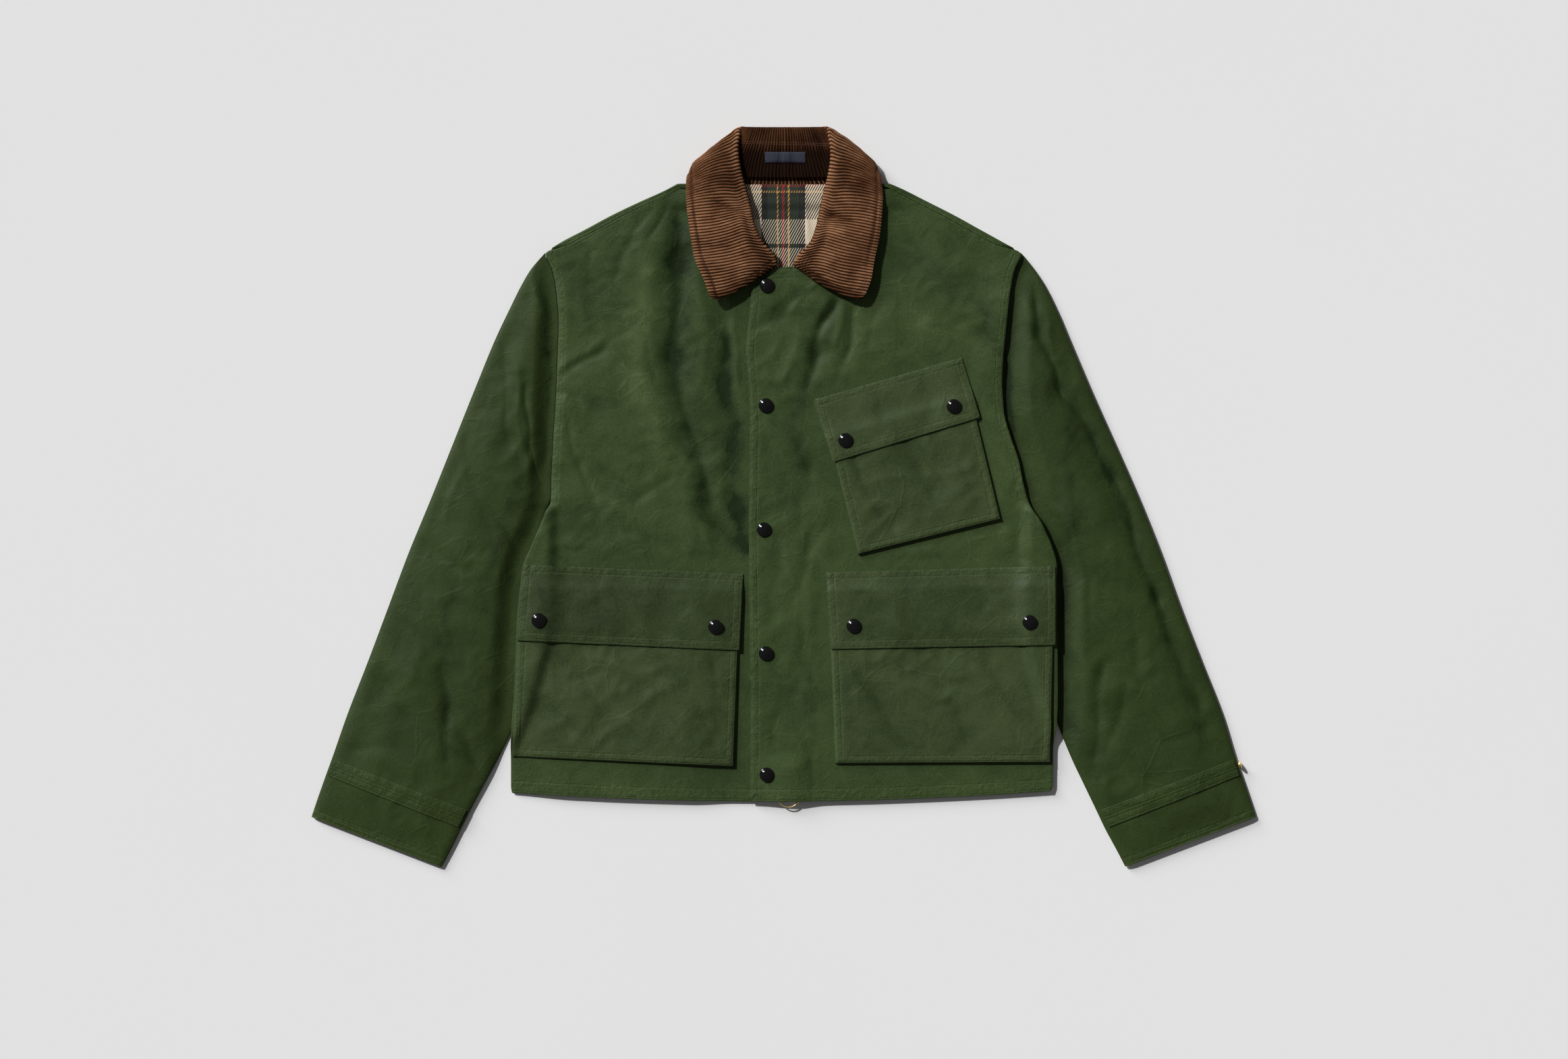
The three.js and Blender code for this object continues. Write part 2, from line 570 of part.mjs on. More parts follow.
function sleeve(side, name) {
  const left = side === 'left';
  const sections = sleeveSections(side);
  const underside = [9, 8, 7, 5, 3, 1];
  const outer = [];
  const inner = [];
  for (const { place, tops } of sections) {
    const a = [];
    const b = [];
    const across = [place[10][0] - place[0][0], place[10][1] - place[0][1]];
    const width = Math.hypot(...across);
    const ux = across[0] / width;
    const uy = across[1] / width;
    for (let k = 0; k <= 10; k += 1) {
      const inset = k === 0 ? 2.6 : k === 10 ? -2.6 : 0;
      a.push([place[k][0], place[k][1], tops[k]]);
      const inner = k === 0 || k === 10 ? 1.9 : tops[k] - CLOTH;
      b.push([place[k][0] + ux * inset, place[k][1] + uy * inset, inner]);
    }
    for (const k of underside) {
      a.push([place[k][0], place[k][1], 0]);
      b.push([place[k][0], place[k][1], CLOTH]);
    }
    outer.push(a);
    inner.push(b);
  }
  const rings = outer.length;
  const n = outer[0].length;
  const points = [...outer.flat(), ...inner.flat()];
  const o = (i, k) => i * n + (k % n);
  const p = (i, k) => rings * n + i * n + (k % n);
  const faces = [];
  const quad = (a, b, c, d) => {
    if (left) faces.push([a, c, b], [a, d, c]);
    else faces.push([a, b, c], [a, c, d]);
  };
  for (let i = 0; i < rings - 1; i += 1) {
    for (let k = 0; k < n; k += 1) {
      quad(o(i, k), o(i, k + 1), o(i + 1, k + 1), o(i + 1, k));
      quad(p(i, k), p(i + 1, k), p(i + 1, k + 1), p(i, k + 1));
    }
  }
  for (let k = 0; k < n; k += 1) {
    quad(p(0, k), p(0, k + 1), o(0, k + 1), o(0, k));
    quad(p(rings - 1, k + 1), p(rings - 1, k), o(rings - 1, k), o(rings - 1, k + 1));
  }
  return solid(name, points, faces, waxed);
}

// Cuff strap: lies across the top of the sleeve between two of its rings
function cuffStrap(side, name, base) {
  const ends = side === 'left'
    ? [[[472.2, -288], [337.2, -341.5]], [[465.6, -271.5], [328.5, -323.5]]]
    : [[[-472.2, -288], [-337.2, -341.5]], [[-465.6, -271.5], [-328.5, -323.5]]];
  const top = [];
  const under = [];
  for (let i = 0; i <= 2; i += 1) {
    const a = [];
    const b = [];
    for (let j = 0; j <= 12; j += 1) {
      const t = side === 'left' ? 1 - j / 12 : j / 12;
      const start = [lerp(ends[0][0][0], ends[1][0][0], i / 2), lerp(ends[0][0][1], ends[1][0][1], i / 2)];
      const stop = [lerp(ends[0][1][0], ends[1][1][0], i / 2), lerp(ends[0][1][1], ends[1][1][1], i / 2)];
      const x = lerp(start[0], stop[0], t);
      const y = lerp(start[1], stop[1], t);
      const z = highest([base], x, y, 6) + SEAM_GAP;
      a.push([x, y, z + CLOTH]);
      b.push([x, y, z]);
    }
    top.push(a);
    under.push(b);
  }
  return wall(name, top, under, waxed);
}

// Grid of a four-cornered piece; the first and last lines repeat the edge for a turned-down rim
const corner = (c, u, v) => [
  lerp(lerp(c[0][0], c[1][0], u), lerp(c[2][0], c[3][0], u), v),
  lerp(lerp(c[0][1], c[1][1], u), lerp(c[2][1], c[3][1], u), v),
];
function pocketBag({ name, corners, lift }, base) {
  const cols = 12;
  const rows = 8;
  const top = [];
  const under = [];
  const e = corner(corners, 1, 0.5);
  const w = corner(corners, 0, 0.5);
  const n = corner(corners, 0.5, 1);
  const s = corner(corners, 0.5, 0);
  const unit = (a, b) => {
    const d = Math.hypot(b[0] - a[0], b[1] - a[1]);
    return [(b[0] - a[0]) / d, (b[1] - a[1]) / d];
  };
  const eu = unit(w, e);
  const ev = unit(s, n);
  for (let i = -1; i <= rows + 1; i += 1) {
    const a = [];
    const b = [];
    for (let j = -1; j <= cols + 1; j += 1) {
      const u = clamp(j / cols, 0, 1);
      const v = clamp(i / rows, 0, 1);
      const flareU = j < 0 ? -0.5 : j > cols ? 0.5 : 0;
      const flareV = i < 0 ? -0.5 : i > rows ? 0.5 : 0;
      const insetU = u === 0 ? CLOTH + 0.4 : u === 1 ? -CLOTH - 0.4 : 0;
      const insetV = v === 0 ? CLOTH + 0.4 : v === 1 ? -CLOTH - 0.4 : 0;
      const rim = flareU !== 0 || flareV !== 0;
      const [cx, cy] = corner(corners, u, v);
      const x = cx + eu[0] * flareU + ev[0] * flareV;
      const y = cy + eu[1] * flareU + ev[1] * flareV;
      const xi = x + eu[0] * insetU + ev[0] * insetV;
      const yi = y + eu[1] * insetU + ev[1] * insetV;
      const ground = highest([base], cx, cy, 6);
      const rise = lerp(lerp(lift[0], lift[1], u), lerp(lift[2], lift[3], u), v);
      const soft = 0.5 * Math.sin(u * 7 + v * 5) * Math.sin(Math.PI * u) * Math.sin(Math.PI * v);
      const z = ground + Math.max(2.3, rise + soft);
      a.push([x, y, rim ? ground + 0.4 : z]);
      b.push([xi, yi, rim ? ground + 0.4 : z - CLOTH]);
    }
    top.push(a);
    under.push(b);
  }
  return wall(name, top, under, waxed);
}
function flap({ name, corners }, bases) {
  const cols = 12;
  const rows = 5;
  const top = [];
  const under = [];
  for (let i = 0; i <= rows; i += 1) {
    const a = [];
    const b = [];
    for (let j = 0; j <= cols; j += 1) {
      const [x, y] = corner(corners, j / cols, i / rows);
      const z = highest(bases, x, y, 8) + SEAM_GAP;
      a.push([x, y, z + FLAP_CLOTH]);
      b.push([x, y, z]);
    }
    top.push(a);
    under.push(b);
  }
  return wall(name, top, under, waxed);
}

// A round piece turned about an upright line
function turned(name, x, y, z, profile, segments, look, tilt) {
  const rings = profile.slice(1, -1);
  const points = [];
  const faces = [];
  const put = (r, h, k) => {
    const turn = (k * 2 * Math.PI) / segments;
    const p = new THREE.Vector3(r * Math.cos(turn), r * Math.sin(turn), h);
    if (tilt) p.applyQuaternion(tilt);
    points.push([x + p.x, y + p.y, z + p.z]);
  };
  put(0, profile[0][1], 0);
  for (const [r, h] of rings) {
    for (let k = 0; k < segments; k += 1) put(r, h, k);
  }
  put(0, profile[profile.length - 1][1], 0);
  const last = points.length - 1;
  const at = (i, k) => 1 + i * segments + (k % segments);
  for (let k = 0; k < segments; k += 1) {
    faces.push([0, at(0, k + 1), at(0, k)]);
    for (let i = 0; i < rings.length - 1; i += 1) {
      faces.push([at(i, k), at(i, k + 1), at(i + 1, k + 1)], [at(i, k), at(i + 1, k + 1), at(i + 1, k)]);
    }
    faces.push([at(rings.length - 1, k), at(rings.length - 1, k + 1), last]);
  }
  return solid(name, points, faces, look);
}

// Collar: sections through neck seam, roll and leaf, with the wall set off each way by half its thickness
function collarSection(row, side) {
  const h = [row.rx - row.mx, row.ry - row.my];
  const length = Math.hypot(...h);
  h[0] /= length;
  h[1] /= length;
  const out = side < 0 ? [-h[1], h[0]] : [h[1], -h[0]];
  const turn = (row.turn * Math.PI) / 180;
  const arc = [out[0] * Math.sin(turn), out[1] * Math.sin(turn), Math.cos(turn)].map((v) => v * row.roll);
  const roll = [row.rx - h[0] * CORDUROY * 0.5, row.ry - h[1] * CORDUROY * 0.5, row.rz];
  const set = (back, up) => [
    roll[0] - h[0] * back * row.roll + arc[0] * up,
    roll[1] - h[1] * back * row.roll + arc[1] * up,
    roll[2] + arc[2] * up,
  ];
  const neck = [row.nx, row.ny, row.nz];
  const stand = set(1, -1);
  const leaf = set(1, 1);
  const middle = [row.mx, row.my, row.mz];
  const rim = [row.ex, row.ey, row.ez];
  const onLeaf = (t) => [0, 1, 2].map((k) => leaf[k] * (2 * t - 1) * (t - 1)
    + middle[k] * 4 * t * (1 - t) + rim[k] * t * (2 * t - 1));
  const half = [0, 1, 2].map((k) => (neck[k] + stand[k]) / 2);
  return [neck, half, stand, set(0.293, -0.707), roll, set(0.293, 0.707), leaf,
    onLeaf(0.25), onLeaf(0.5), onLeaf(0.78), rim];
}
function collarGrid() {
  const rows = [
    ...COLLAR_RIGHT.map((row) => ({ row, side: -1 })),
    { row: COLLAR_MIDDLE, side: 1 },
    ...[...COLLAR_LEFT].reverse().map((row) => ({ row, side: 1 })),
  ];
  const sections = rows.map(({ row, side }) => collarSection(row, side));
  const curves = sections[0].map((unused, k) => new THREE.CatmullRomCurve3(
    sections.map((section) => new THREE.Vector3(...section[k])),
    false,
    'centripetal',
  ));
  const last = sections.length - 1;
  const grid = [];
  for (let i = 0; i < last; i += 1) {
    const cuts = Math.max(rows[i].row.cuts, 2);
    for (let c = 0; c < cuts; c += 1) {
      grid.push(curves.map((curve) => curve.getPoint((i + c / cuts) / last).toArray()));
    }
  }
  grid.push(curves.map((curve) => curve.getPoint(1).toArray()));
  return grid;
}
function collar() {
  const grid = collarGrid();
  const rows = grid.length;
  const cols = grid[0].length;
  const plus = [];
  const minus = [];
  for (let i = 0; i < rows; i += 1) {
    const a = [];
    const b = [];
    for (let j = 0; j < cols; j += 1) {
      const du = new THREE.Vector3(...grid[Math.min(i + 1, rows - 1)][j])
        .sub(new THREE.Vector3(...grid[Math.max(i - 1, 0)][j]));
      const dv = new THREE.Vector3(...grid[i][Math.min(j + 1, cols - 1)])
        .sub(new THREE.Vector3(...grid[i][Math.max(j - 1, 0)]));
      const n = du.cross(dv).normalize().multiplyScalar(CORDUROY / 2);
      const p = grid[i][j];
      a.push([p[0] + n.x, p[1] + n.y, Math.max(0, p[2] + n.z)]);
      b.push([p[0] - n.x, p[1] - n.y, p[2] - n.z]);
    }
    plus.push(a);
    minus.push(b);
  }
  return wall('collar', minus, plus, corduroy);
}
function neckLabel(base) {
  const top = [];
  const under = [];
  for (let i = 0; i <= 2; i += 1) {
    const a = [];
    const b = [];
    for (let j = 0; j <= 6; j += 1) {
      const x = lerp(-19.5, 22.5, j / 6);
      const y = lerp(346.5, 357.5, i / 2);
      const z = highest([base], x, y, 2) + SEAM_GAP;
      a.push([x, y, z + 1]);
      b.push([x, y, z]);
    }
    top.push(a);
    under.push(b);
  }
  return wall('neck_label', top, under, labelCloth);
}

// Zip slider with a bail over the ring's wire, and the ring itself
function fromThree(geometry) {
  const plain = geometry.index ? geometry : geometry.clone();
  const counted = Array.from({ length: plain.attributes.position.count }, (unused, k) => k);
  const index = plain.index ? Array.from(plain.index.array) : counted;
  const mesh = new wasm.Mesh({
    numProp: 3,
    vertProperties: new Float32Array(plain.attributes.position.array),
    triVerts: new Uint32Array(index),
  });
  mesh.merge();
  return new wasm.Manifold(mesh);
}
function zipSlider(z) {
  const boxAt = (sx, sy, sz, x, y, zc) => new THREE.BoxGeometry(sx, sy, sz).translate(x, y, zc);
  const wireY = RING_CENTRE_Y + RING_OUTER - RING_WIRE;
  const plate = fromThree(boxAt(8.6, 13, 1, ZIP_X, wireY + 1.5, z + 0.5));
  const feet = [-1, 1].map((s) => fromThree(boxAt(2.6, 1, 3.2, ZIP_X, wireY + s * 2.2, z + 0.8 + 1.3)));
  const bridge = fromThree(boxAt(2.6, 5.4, 0.8, ZIP_X, wireY, z + 3.3));
  const joined = wasm.Manifold.union([plate, ...feet, bridge]).getMesh();
  const points = [];
  for (let i = 0; i < joined.vertProperties.length; i += joined.numProp) {
    points.push(Array.from(joined.vertProperties.slice(i, i + 3)));
  }
  const faces = [];
  for (let i = 0; i < joined.triVerts.length; i += 3) {
    faces.push(Array.from(joined.triVerts.slice(i, i + 3)));
  }
  return solid('zip_slider', points, faces, brass);
}
function zipRing(z) {
  const around = 36;
  const wire = 8;
  const points = [];
  const faces = [];
  const middle = RING_OUTER - RING_WIRE;
  for (let i = 0; i < around; i += 1) {
    const a = (i * 2 * Math.PI) / around + Math.PI / 2;
    for (let k = 0; k < wire; k += 1) {
      const b = (k * 2 * Math.PI) / wire;
      const r = middle + RING_WIRE * Math.cos(b);
      points.push([ZIP_X + r * Math.cos(a), RING_CENTRE_Y + r * Math.sin(a), z + RING_WIRE * Math.sin(b)]);
    }
  }
  for (let i = 0; i < around; i += 1) {
    for (let k = 0; k < wire; k += 1) {
      const a = i * wire + k;
      const b = ((i + 1) % around) * wire + k;
      const c = ((i + 1) % around) * wire + ((k + 1) % wire);
      const d = i * wire + ((k + 1) % wire);
      faces.push([a, b, c], [a, c, d]);
    }
  }
  return solid('zip_ring', points, faces, brass);
}

const back = backPanel();
neckLining(back);
const right = frontPanel(
  'front_right',
  [...bodyRows.filter((y) => y < 235), 236, 253, 264, 278, 292, 307, 319],
  (y) => edge('right', y) + shoulderInset(y),
  (y) => (y < 236 ? lookup(UNDERLAP_EDGE, 'y', 'x', y) : lookup(NECK_EDGE, 'y', 'right', y)),
  loftRight,
  back,
);
const left = frontPanel(
  'front_left',
  [
    ...bodyRows.filter((y) => y < 235 && y !== 215),
    ...[215, 218, 221, 229, 237, 240, 253, 264, 278, 292, 307, 319],
  ].sort((a, b) => a - b),
  (y) => (y < 240 ? lookup(FLY_EDGE, 'y', 'x', y) : lookup(NECK_EDGE, 'y', 'left', y)),
  (y) => edge('left', y) - shoulderInset(y),
  loftLeft,
  back,
);
const sleeveRight = sleeve('right', 'sleeve_right');
const sleeveLeft = sleeve('left', 'sleeve_left');
cuffStrap('right', 'cuff_strap_right', sleeveRight);
cuffStrap('left', 'cuff_strap_left', sleeveLeft);
const bags = [pocketBag(POCKETS[0], right), pocketBag(POCKETS[1], left), pocketBag(POCKETS[2], left)];
const flaps = [
  flap(FLAPS[0], [right, bags[0]]),
  flap(FLAPS[1], [left, bags[1]]),
  flap(FLAPS[2], [left, bags[2]]),
];
const collarPiece = collar();
neckLabel(collarPiece);
const SNAP_PROFILE = [[0, 0], [7.2, 0], [SNAP_RADIUS, 1.1], [6.3, 2.6], [3.2, 3.6], [0, SNAP_HEIGHT]];
for (const snap of SNAPS) {
  const z = highest([right, left, ...flaps], snap.x, snap.y, SNAP_RADIUS) + SEAM_GAP;
  turned(snap.name, snap.x, snap.y, z, SNAP_PROFILE, 12, blackGloss);
}
const outward = new THREE.Vector3(0.93, 0.37, 0).normalize();
turned('cuff_stud', 471.3, -277.4, 4.9, [[0, 0], [3.2, 0], [4.6, 1.2], [3.4, 2.6], [0, 3]], 12, brass,
  new THREE.Quaternion().setFromUnitVectors(new THREE.Vector3(0, 0, 1), outward));
const zipBase = highest([right], ZIP_X, RING_CENTRE_Y + 12, 7) + SEAM_GAP;
zipSlider(zipBase);
zipRing(zipBase + 1 + SEAM_GAP + RING_WIRE);

export default jacket;
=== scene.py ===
# %% [markdown]
# # A waxed cotton jacket, laid flat
# This lesson builds a short field jacket that lies on its back with the front closed: waxed cotton
# panels, a corduroy collar, three patch pockets with flaps, black snaps and a brass zip ring.
# The jacket is seen from straight above. X runs to the right of the picture, Y runs up to the
# collar and Z comes up off the floor. All sizes below are in millimetres; Blender gets metres.

from math import pi

import bpy
import numpy as np
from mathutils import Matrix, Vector
from mathutils.bvhtree import BVHTree


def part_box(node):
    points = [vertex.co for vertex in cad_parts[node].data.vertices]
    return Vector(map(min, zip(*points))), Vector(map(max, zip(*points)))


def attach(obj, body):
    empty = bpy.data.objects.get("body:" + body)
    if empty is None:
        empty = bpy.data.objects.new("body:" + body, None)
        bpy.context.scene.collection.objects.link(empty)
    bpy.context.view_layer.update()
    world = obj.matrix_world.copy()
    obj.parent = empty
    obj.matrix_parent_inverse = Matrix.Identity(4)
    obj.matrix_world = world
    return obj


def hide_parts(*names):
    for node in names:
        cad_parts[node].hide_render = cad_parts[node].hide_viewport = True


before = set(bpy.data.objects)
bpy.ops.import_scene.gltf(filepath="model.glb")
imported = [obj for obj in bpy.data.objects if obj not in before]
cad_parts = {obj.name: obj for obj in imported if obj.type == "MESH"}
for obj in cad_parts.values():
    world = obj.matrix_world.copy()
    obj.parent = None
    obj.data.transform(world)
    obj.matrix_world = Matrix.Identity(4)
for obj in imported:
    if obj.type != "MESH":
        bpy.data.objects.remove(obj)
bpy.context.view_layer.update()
MM = 0.001

# %% [markdown]
# ## Small tools for shapes
# Cloth is easiest to draw as a grid whose points are moved by plain functions, because a fold, a
# hem or a seam is then one line of a table that can be changed by hand. `ease` is a soft step,
# `between` reads a table on straight lines and `curve` on a smooth line that never overshoots.

# %% Tools for tables, soft steps and soft noise
def table(columns, rows):
    data = np.array([[float(n) for n in row.split()] for row in rows.strip().splitlines()])
    data = data[np.argsort(data[:, 0], kind="stable")]
    return dict(zip(columns.split(), data.T))


def ease(t):
    s = np.clip(t, 0, 1)
    return s * s * (3 - 2 * s)


def lerp(a, b, t):
    return a + (b - a) * t


def bell(t):
    """A soft hump: 1 at 0, and close to nothing past 2 on either side."""
    return np.exp(-(t ** 2))


def quarter_round(t):
    """Rises from 0 to 1 like a quarter of a circle, steep at first and level at the end."""
    return np.sqrt(1 - (1 - np.clip(t, 0, 1)) ** 2)


def least(value, *others):
    for other in others:
        value = np.minimum(value, other)
    return value


def between(rows, key, column, value):
    return np.interp(value, rows[key], rows[column])


def curve(rows, key, column, value):
    x, y = rows[key], rows[column]
    h = np.diff(x)
    rise = np.diff(y) / h
    slope = np.zeros_like(x)
    slope[0], slope[-1] = rise[0], rise[-1]
    w1, w2 = 2 * h[1:] + h[:-1], h[1:] + 2 * h[:-1]
    same = rise[:-1] * rise[1:] > 0
    mean = (w1 + w2)[same] / (w1[same] / rise[:-1][same] + w2[same] / rise[1:][same])
    slope[1:-1][same] = mean
    value = np.clip(value, x[0], x[-1])
    k = np.clip(np.searchsorted(x, value) - 1, 0, len(h) - 1)
    t = (value - x[k]) / h[k]
    start = (1 + 2 * t) * (1 - t) ** 2 * y[k] + t * (1 - t) ** 2 * h[k] * slope[k]
    stop = t * t * (3 - 2 * t) * y[k + 1] + t * t * (t - 1) * h[k] * slope[k + 1]
    return start + stop


def soft_noise(x, y, size, seed=0):
    """Smooth bumps about as wide as size, from -1 to 1, the same on every run."""
    u, v = x / size, y / size
    i, j = np.floor(u), np.floor(v)
    fu, fv = u - i, v - j

    def corner(di, dj):
        turn = np.sin((i + di) * 12.9898 + (j + dj) * 78.233 + seed * 37.719) * 4375.5453
        angle = (turn - np.floor(turn)) * 2 * pi
        return np.cos(angle) * (fu - di) + np.sin(angle) * (fv - dj)

    su, sv = ease(fu), ease(fv)
    low = lerp(corner(0, 0), corner(1, 0), su)
    high = lerp(corner(0, 1), corner(1, 1), su)
    return 1.5 * lerp(low, high, sv)


def creases(rows, x, y, crisp=0.38):
    """Sum of the troughs and ridges of a table; each one fades at its two ends."""
    total = np.zeros_like(x)
    for k in range(len(rows["x0"])):
        f = {name: column[k] for name, column in rows.items()}
        dx, dy = f["x1"] - f["x0"], f["y1"] - f["y0"]
        length = np.hypot(dx, dy)
        along = ((x - f["x0"]) * dx + (y - f["y0"]) * dy) / length
        across = ((x - f["x0"]) * dy - (y - f["y0"]) * dx) / length
        past = np.maximum(0, np.maximum(-along, along - length))
        wander = across + 0.35 * f["width"] * np.sin(along / (1.9 * f["width"]) + f["x0"])
        shape = (1 - crisp) * bell(wander / f["width"]) + crisp * bell(wander / (0.36 * f["width"]))
        total += f["depth"] * shape * bell(past / (1.3 * f["width"]))
    return total


def crumple(x, y, seed):
    """The broken, papery surface of waxed cloth: ridges where two soft slopes meet."""
    bend = 7 * soft_noise(x, y, 48, seed + 5)
    wide = 1 - 2.4 * np.abs(soft_noise(x + 0.4 * y + bend, y, 66, seed))
    middle = 1 - 2.4 * np.abs(soft_noise(x - 0.3 * y, y + bend, 34, seed + 1))
    small = 1 - 2.4 * np.abs(soft_noise(x + bend, y - 0.2 * x, 17, seed + 4))
    patch = ease(0.5 + 1.4 * soft_noise(x, y, 95, seed + 2))
    other = ease(0.4 + 1.6 * soft_noise(x, y, 70, seed + 6))
    return 1.1 * wide + 1.0 * middle * patch + 0.5 * small * other + 0.5 * soft_noise(x, y, 40, seed + 3)


def shade_of(rows, x, y):
    """Painted shade and light of the folds, set off towards the side of each fold that is turned from the
    light.
    """
    return creases(rows, x + 3.5, y - 3.0)


def painted_shading_bands(rows, x, y):
    """Soft bands of painted shade (dark) and painted light (pale), broken up so that none of them looks
    drawn.
    """
    drift = 6 * soft_noise(x, y, 34, 91) + 2.5 * soft_noise(x, y, 12, 94)
    patchy = 0.85 + 0.55 * soft_noise(x, y, 24, 92) + 0.35 * soft_noise(x, y, 10, 93)
    return creases(rows, x + drift, y + 0.5 * drift, crisp=0.15) * patchy


print("soft noise runs from", round(float(soft_noise(np.arange(900.0), np.arange(900.0), 13).min()), 2))

# %% [markdown]
# ## The cut of the jacket
# Each row gives a height above the floor plan and how far the edge stands to the wearer's right
# (negative X, the left of the picture) and to the wearer's left. They are the same rows that the
# solid parts were made from, so the cloth lies exactly over them.

# %% Outlines of the body, the fly and the sleeves
BODY_EDGE = table("y right left", """
-306 -282 277
-299 -283 279
-285 -283 279.2
-260 -283 279.5
-235 -282 283
-200 -279.5 284
-175 -278.5 283.8
-150 -277.5 283.5
-120 -276 283.3
-95 -273.5 283.2
-72 -270.5 283
-50 -261.5 277.5
-34 -254.5 270.5
-22 -249.6 264.5
-13 -246 258
-5 -241.5 254
20 -241 247
40 -240 243
60 -239 236
90 -237 228
120 -235.5 226.5
150 -234.5 228
180 -233.5 231
215 -236 235
235 -240 239
253 -247 246
264 -231.4 227.9
278 -204.8 202.7
292 -178.9 177.5
307 -147.5 148
319 -121 124
327 -106 105
""")
NECK_EDGE = table("y right left", """
236 -14 12
240 -20 20
253 -42 43
272 -59 60
292 -71 72
308 -78 79
322 -82 83
""")
FLY_EDGE = table("y x", """
-306 -34.5
-200 -34
-100 -35.5
-30 -36
83 -34.5
113 -35.5
150 -39
168 -38
183 -36
218 -33
221 -23
237 -11
240 20
""")
UNDERLAP_EDGE = table("y x", """
-306 18
215 18
228 3
236 -14
""")
SLEEVE_OUTER = table("y right left", """
-331 -489.4 489.4
-316 -484.4 484.4
-292 -476 476.2
-270 -468 468.5
-226 -452.6 455
-170 -430.9 433
-114 -409.9 411.3
-58 -388.9 391
-2 -365.8 368.6
54 -343.4 344
110 -321 318.9
166 -297.9 295
194 -284.6 283.2
222 -270.6 269.2
236 -262.2 260
253 -247.6 246.6
""")
SLEEVE_RINGS = table("oy rx ry lx ly bow top", """
-331 -354.5 -383 354 -382.5 0 5.6
-316 -346 -367 346 -367 0 6.0
-292 -333.5 -342 333 -343 0 6.3
-270 -324 -323 324 -324 0 6.5
-233 -310 -297 311 -297 0 6.9
-195 -294 -267 296.5 -266 0 6.9
-152 -272 -216 278 -216 0 6.9
-104 -256 -158 263 -158 0 6.9
-54 -249.5 -104 259 -104 0 6.9
-2 -247.6 -62 258.4 -62 0.03 6.9
50 -247.1 -36 258.6 -36 0.08 6.9
106 -246.9 -17 258.9 -17 0.18 6.9
160 -245.4 -11.5 257.8 -12 0.36 6.9
205 -244 -8.8 256.6 -9.2 0.6 6.6
236 -242.9 -6.8 255.5 -7 0.83 6.0
253 -242 -5 254.6 -5 1 5.0
""")
print("body is", round(BODY_EDGE["left"].max() - BODY_EDGE["right"].min(), 1), "mm wide")

# %% [markdown]
# ## How the layers lie on each other
# A garment laid flat is a stack: back panel, lining, front panels, pockets, flaps, collar. Each
# layer is given as a height over the plan. The back rises at its sides, where the sleeves are
# tucked beneath it, and at the neck, where the back half of the collar is folded under.

# %% Heights of the back and the fronts
# PLAN_HEM is the lowest row of the outlines; SHOULDER and UNDERARM are the two ends of the armhole.
CLOTH = 1.5
GAP = 0.3
SHOULDER_LAP = 12.5
PLAN_HEM, SHOULDER, UNDERARM = -306.0, 253.0, -5.0
# The calm cloth behind a pocket: its centre, its half width and height, and its turn.
BEHIND_HIP_RIGHT = (-161, -175, 122, 110)
BEHIND_HIP_LEFT = (163, -174, 122, 108)
BEHIND_CHEST = (128, 42, 88, 88, 0.27)
# A value of `seams` that is too far off for any stitch or pucker to reach.
NO_SEAM = 99
# Each row is one fold: the line that it follows, its width and its depth; a trough is negative.
FOLDS_RIGHT = table("x0 y0 x1 y1 width depth", """
-108 320 -112 240 14 -3.2
-112 240 -109 150 14 -4.0
-109 150 -100 60 13 -4.0
-100 60 -44 -66 11 -3.4
-144 262 -146 165 20 1.6
-146 165 -132 60 20 1.5
-132 60 -90 -40 16 1.2
-84 250 -84 120 12 1.0
-60 232 -58 120 7 -2.4
-58 120 -50 0 8 -3.0
-50 0 -38 -70 7 -2.4
-52 180 -42 84 4.5 1.5
-42 84 -41 10 4.5 1.1
-114 315 -137 274 7 -1.5
-142 295 -172 236 9 -1.2
-196 262 -206 220 9 -0.9
-226 128 -188 152 6 -1.6
-188 152 -156 176 7 -0.8
-225 136 -192 160 5 0.8
-232 108 -216 103 4.5 -1.0
-224 74 -211 36 6 -1.4
-211 36 -197 0 5 -1.5
-231 24 -199 0 5 -1.3
-218 60 -204 26 4 0.7
-184 27 -152 -1 6 -1.1
-152 -1 -120 15 6 -0.9
-142 158 -132 124 5 -0.8
-170 95 -140 60 9 -0.7
-244 -29 -214 -60 8 -1.2
-240 -46 -200 -52 7 0.7
-165 -30 -110 -62 9 -0.9
-100 -10 -70 -60 8 0.8
-180 -300 -120 -288 8 0.4
-258 -100 -250 -60 8 -0.6
""")
FOLDS_LEFT = table("x0 y0 x1 y1 width depth", """
22 211 -4 190 7 -2.6
-4 190 -22 176 6 -1.8
34 222 10 196 5 1.3
52 200 41 180 7 -2.2
41 180 33 148 7 -2.4
33 148 25 110 8 -2.2
25 110 20 60 8 -1.6
47 205 34 182 4 0.9
62 200 54 160 5 1.2
74 192 66 150 6 -1.8
66 150 56 110 8 -1.0
98 190 90 160 8 -0.7
14 170 6 130 8 0.9
6 120 12 70 8 -0.8
-14 60 2 20 7 -0.8
28 30 16 -30 8 -1.2
172 212 206 173 10 -1.5
206 173 226 147 6 -1.8
214 180 232 160 5 0.8
196 226 220 214 7 -1.0
110 236 132 188 12 -0.4
150 250 168 205 12 -0.4
240 20 226 -30 8 -1.2
236 90 246 20 7 0.9
250 -30 236 -62 7 -1.0
30 -40 14 -100 7 -1.4
14 -100 24 -150 6 -1.2
24 -150 10 -210 7 -1.4
10 -210 26 -270 7 -1.3
4 -60 18 -120 5 0.9
36 -120 30 -190 5 -0.9
0 -190 -8 -250 6 -0.9
38 -220 30 -290 5 -0.8
-12 -120 -4 -60 6 -0.7
60 -20 30 -50 8 -0.9
120 -68 60 -60 7 -0.6
""")
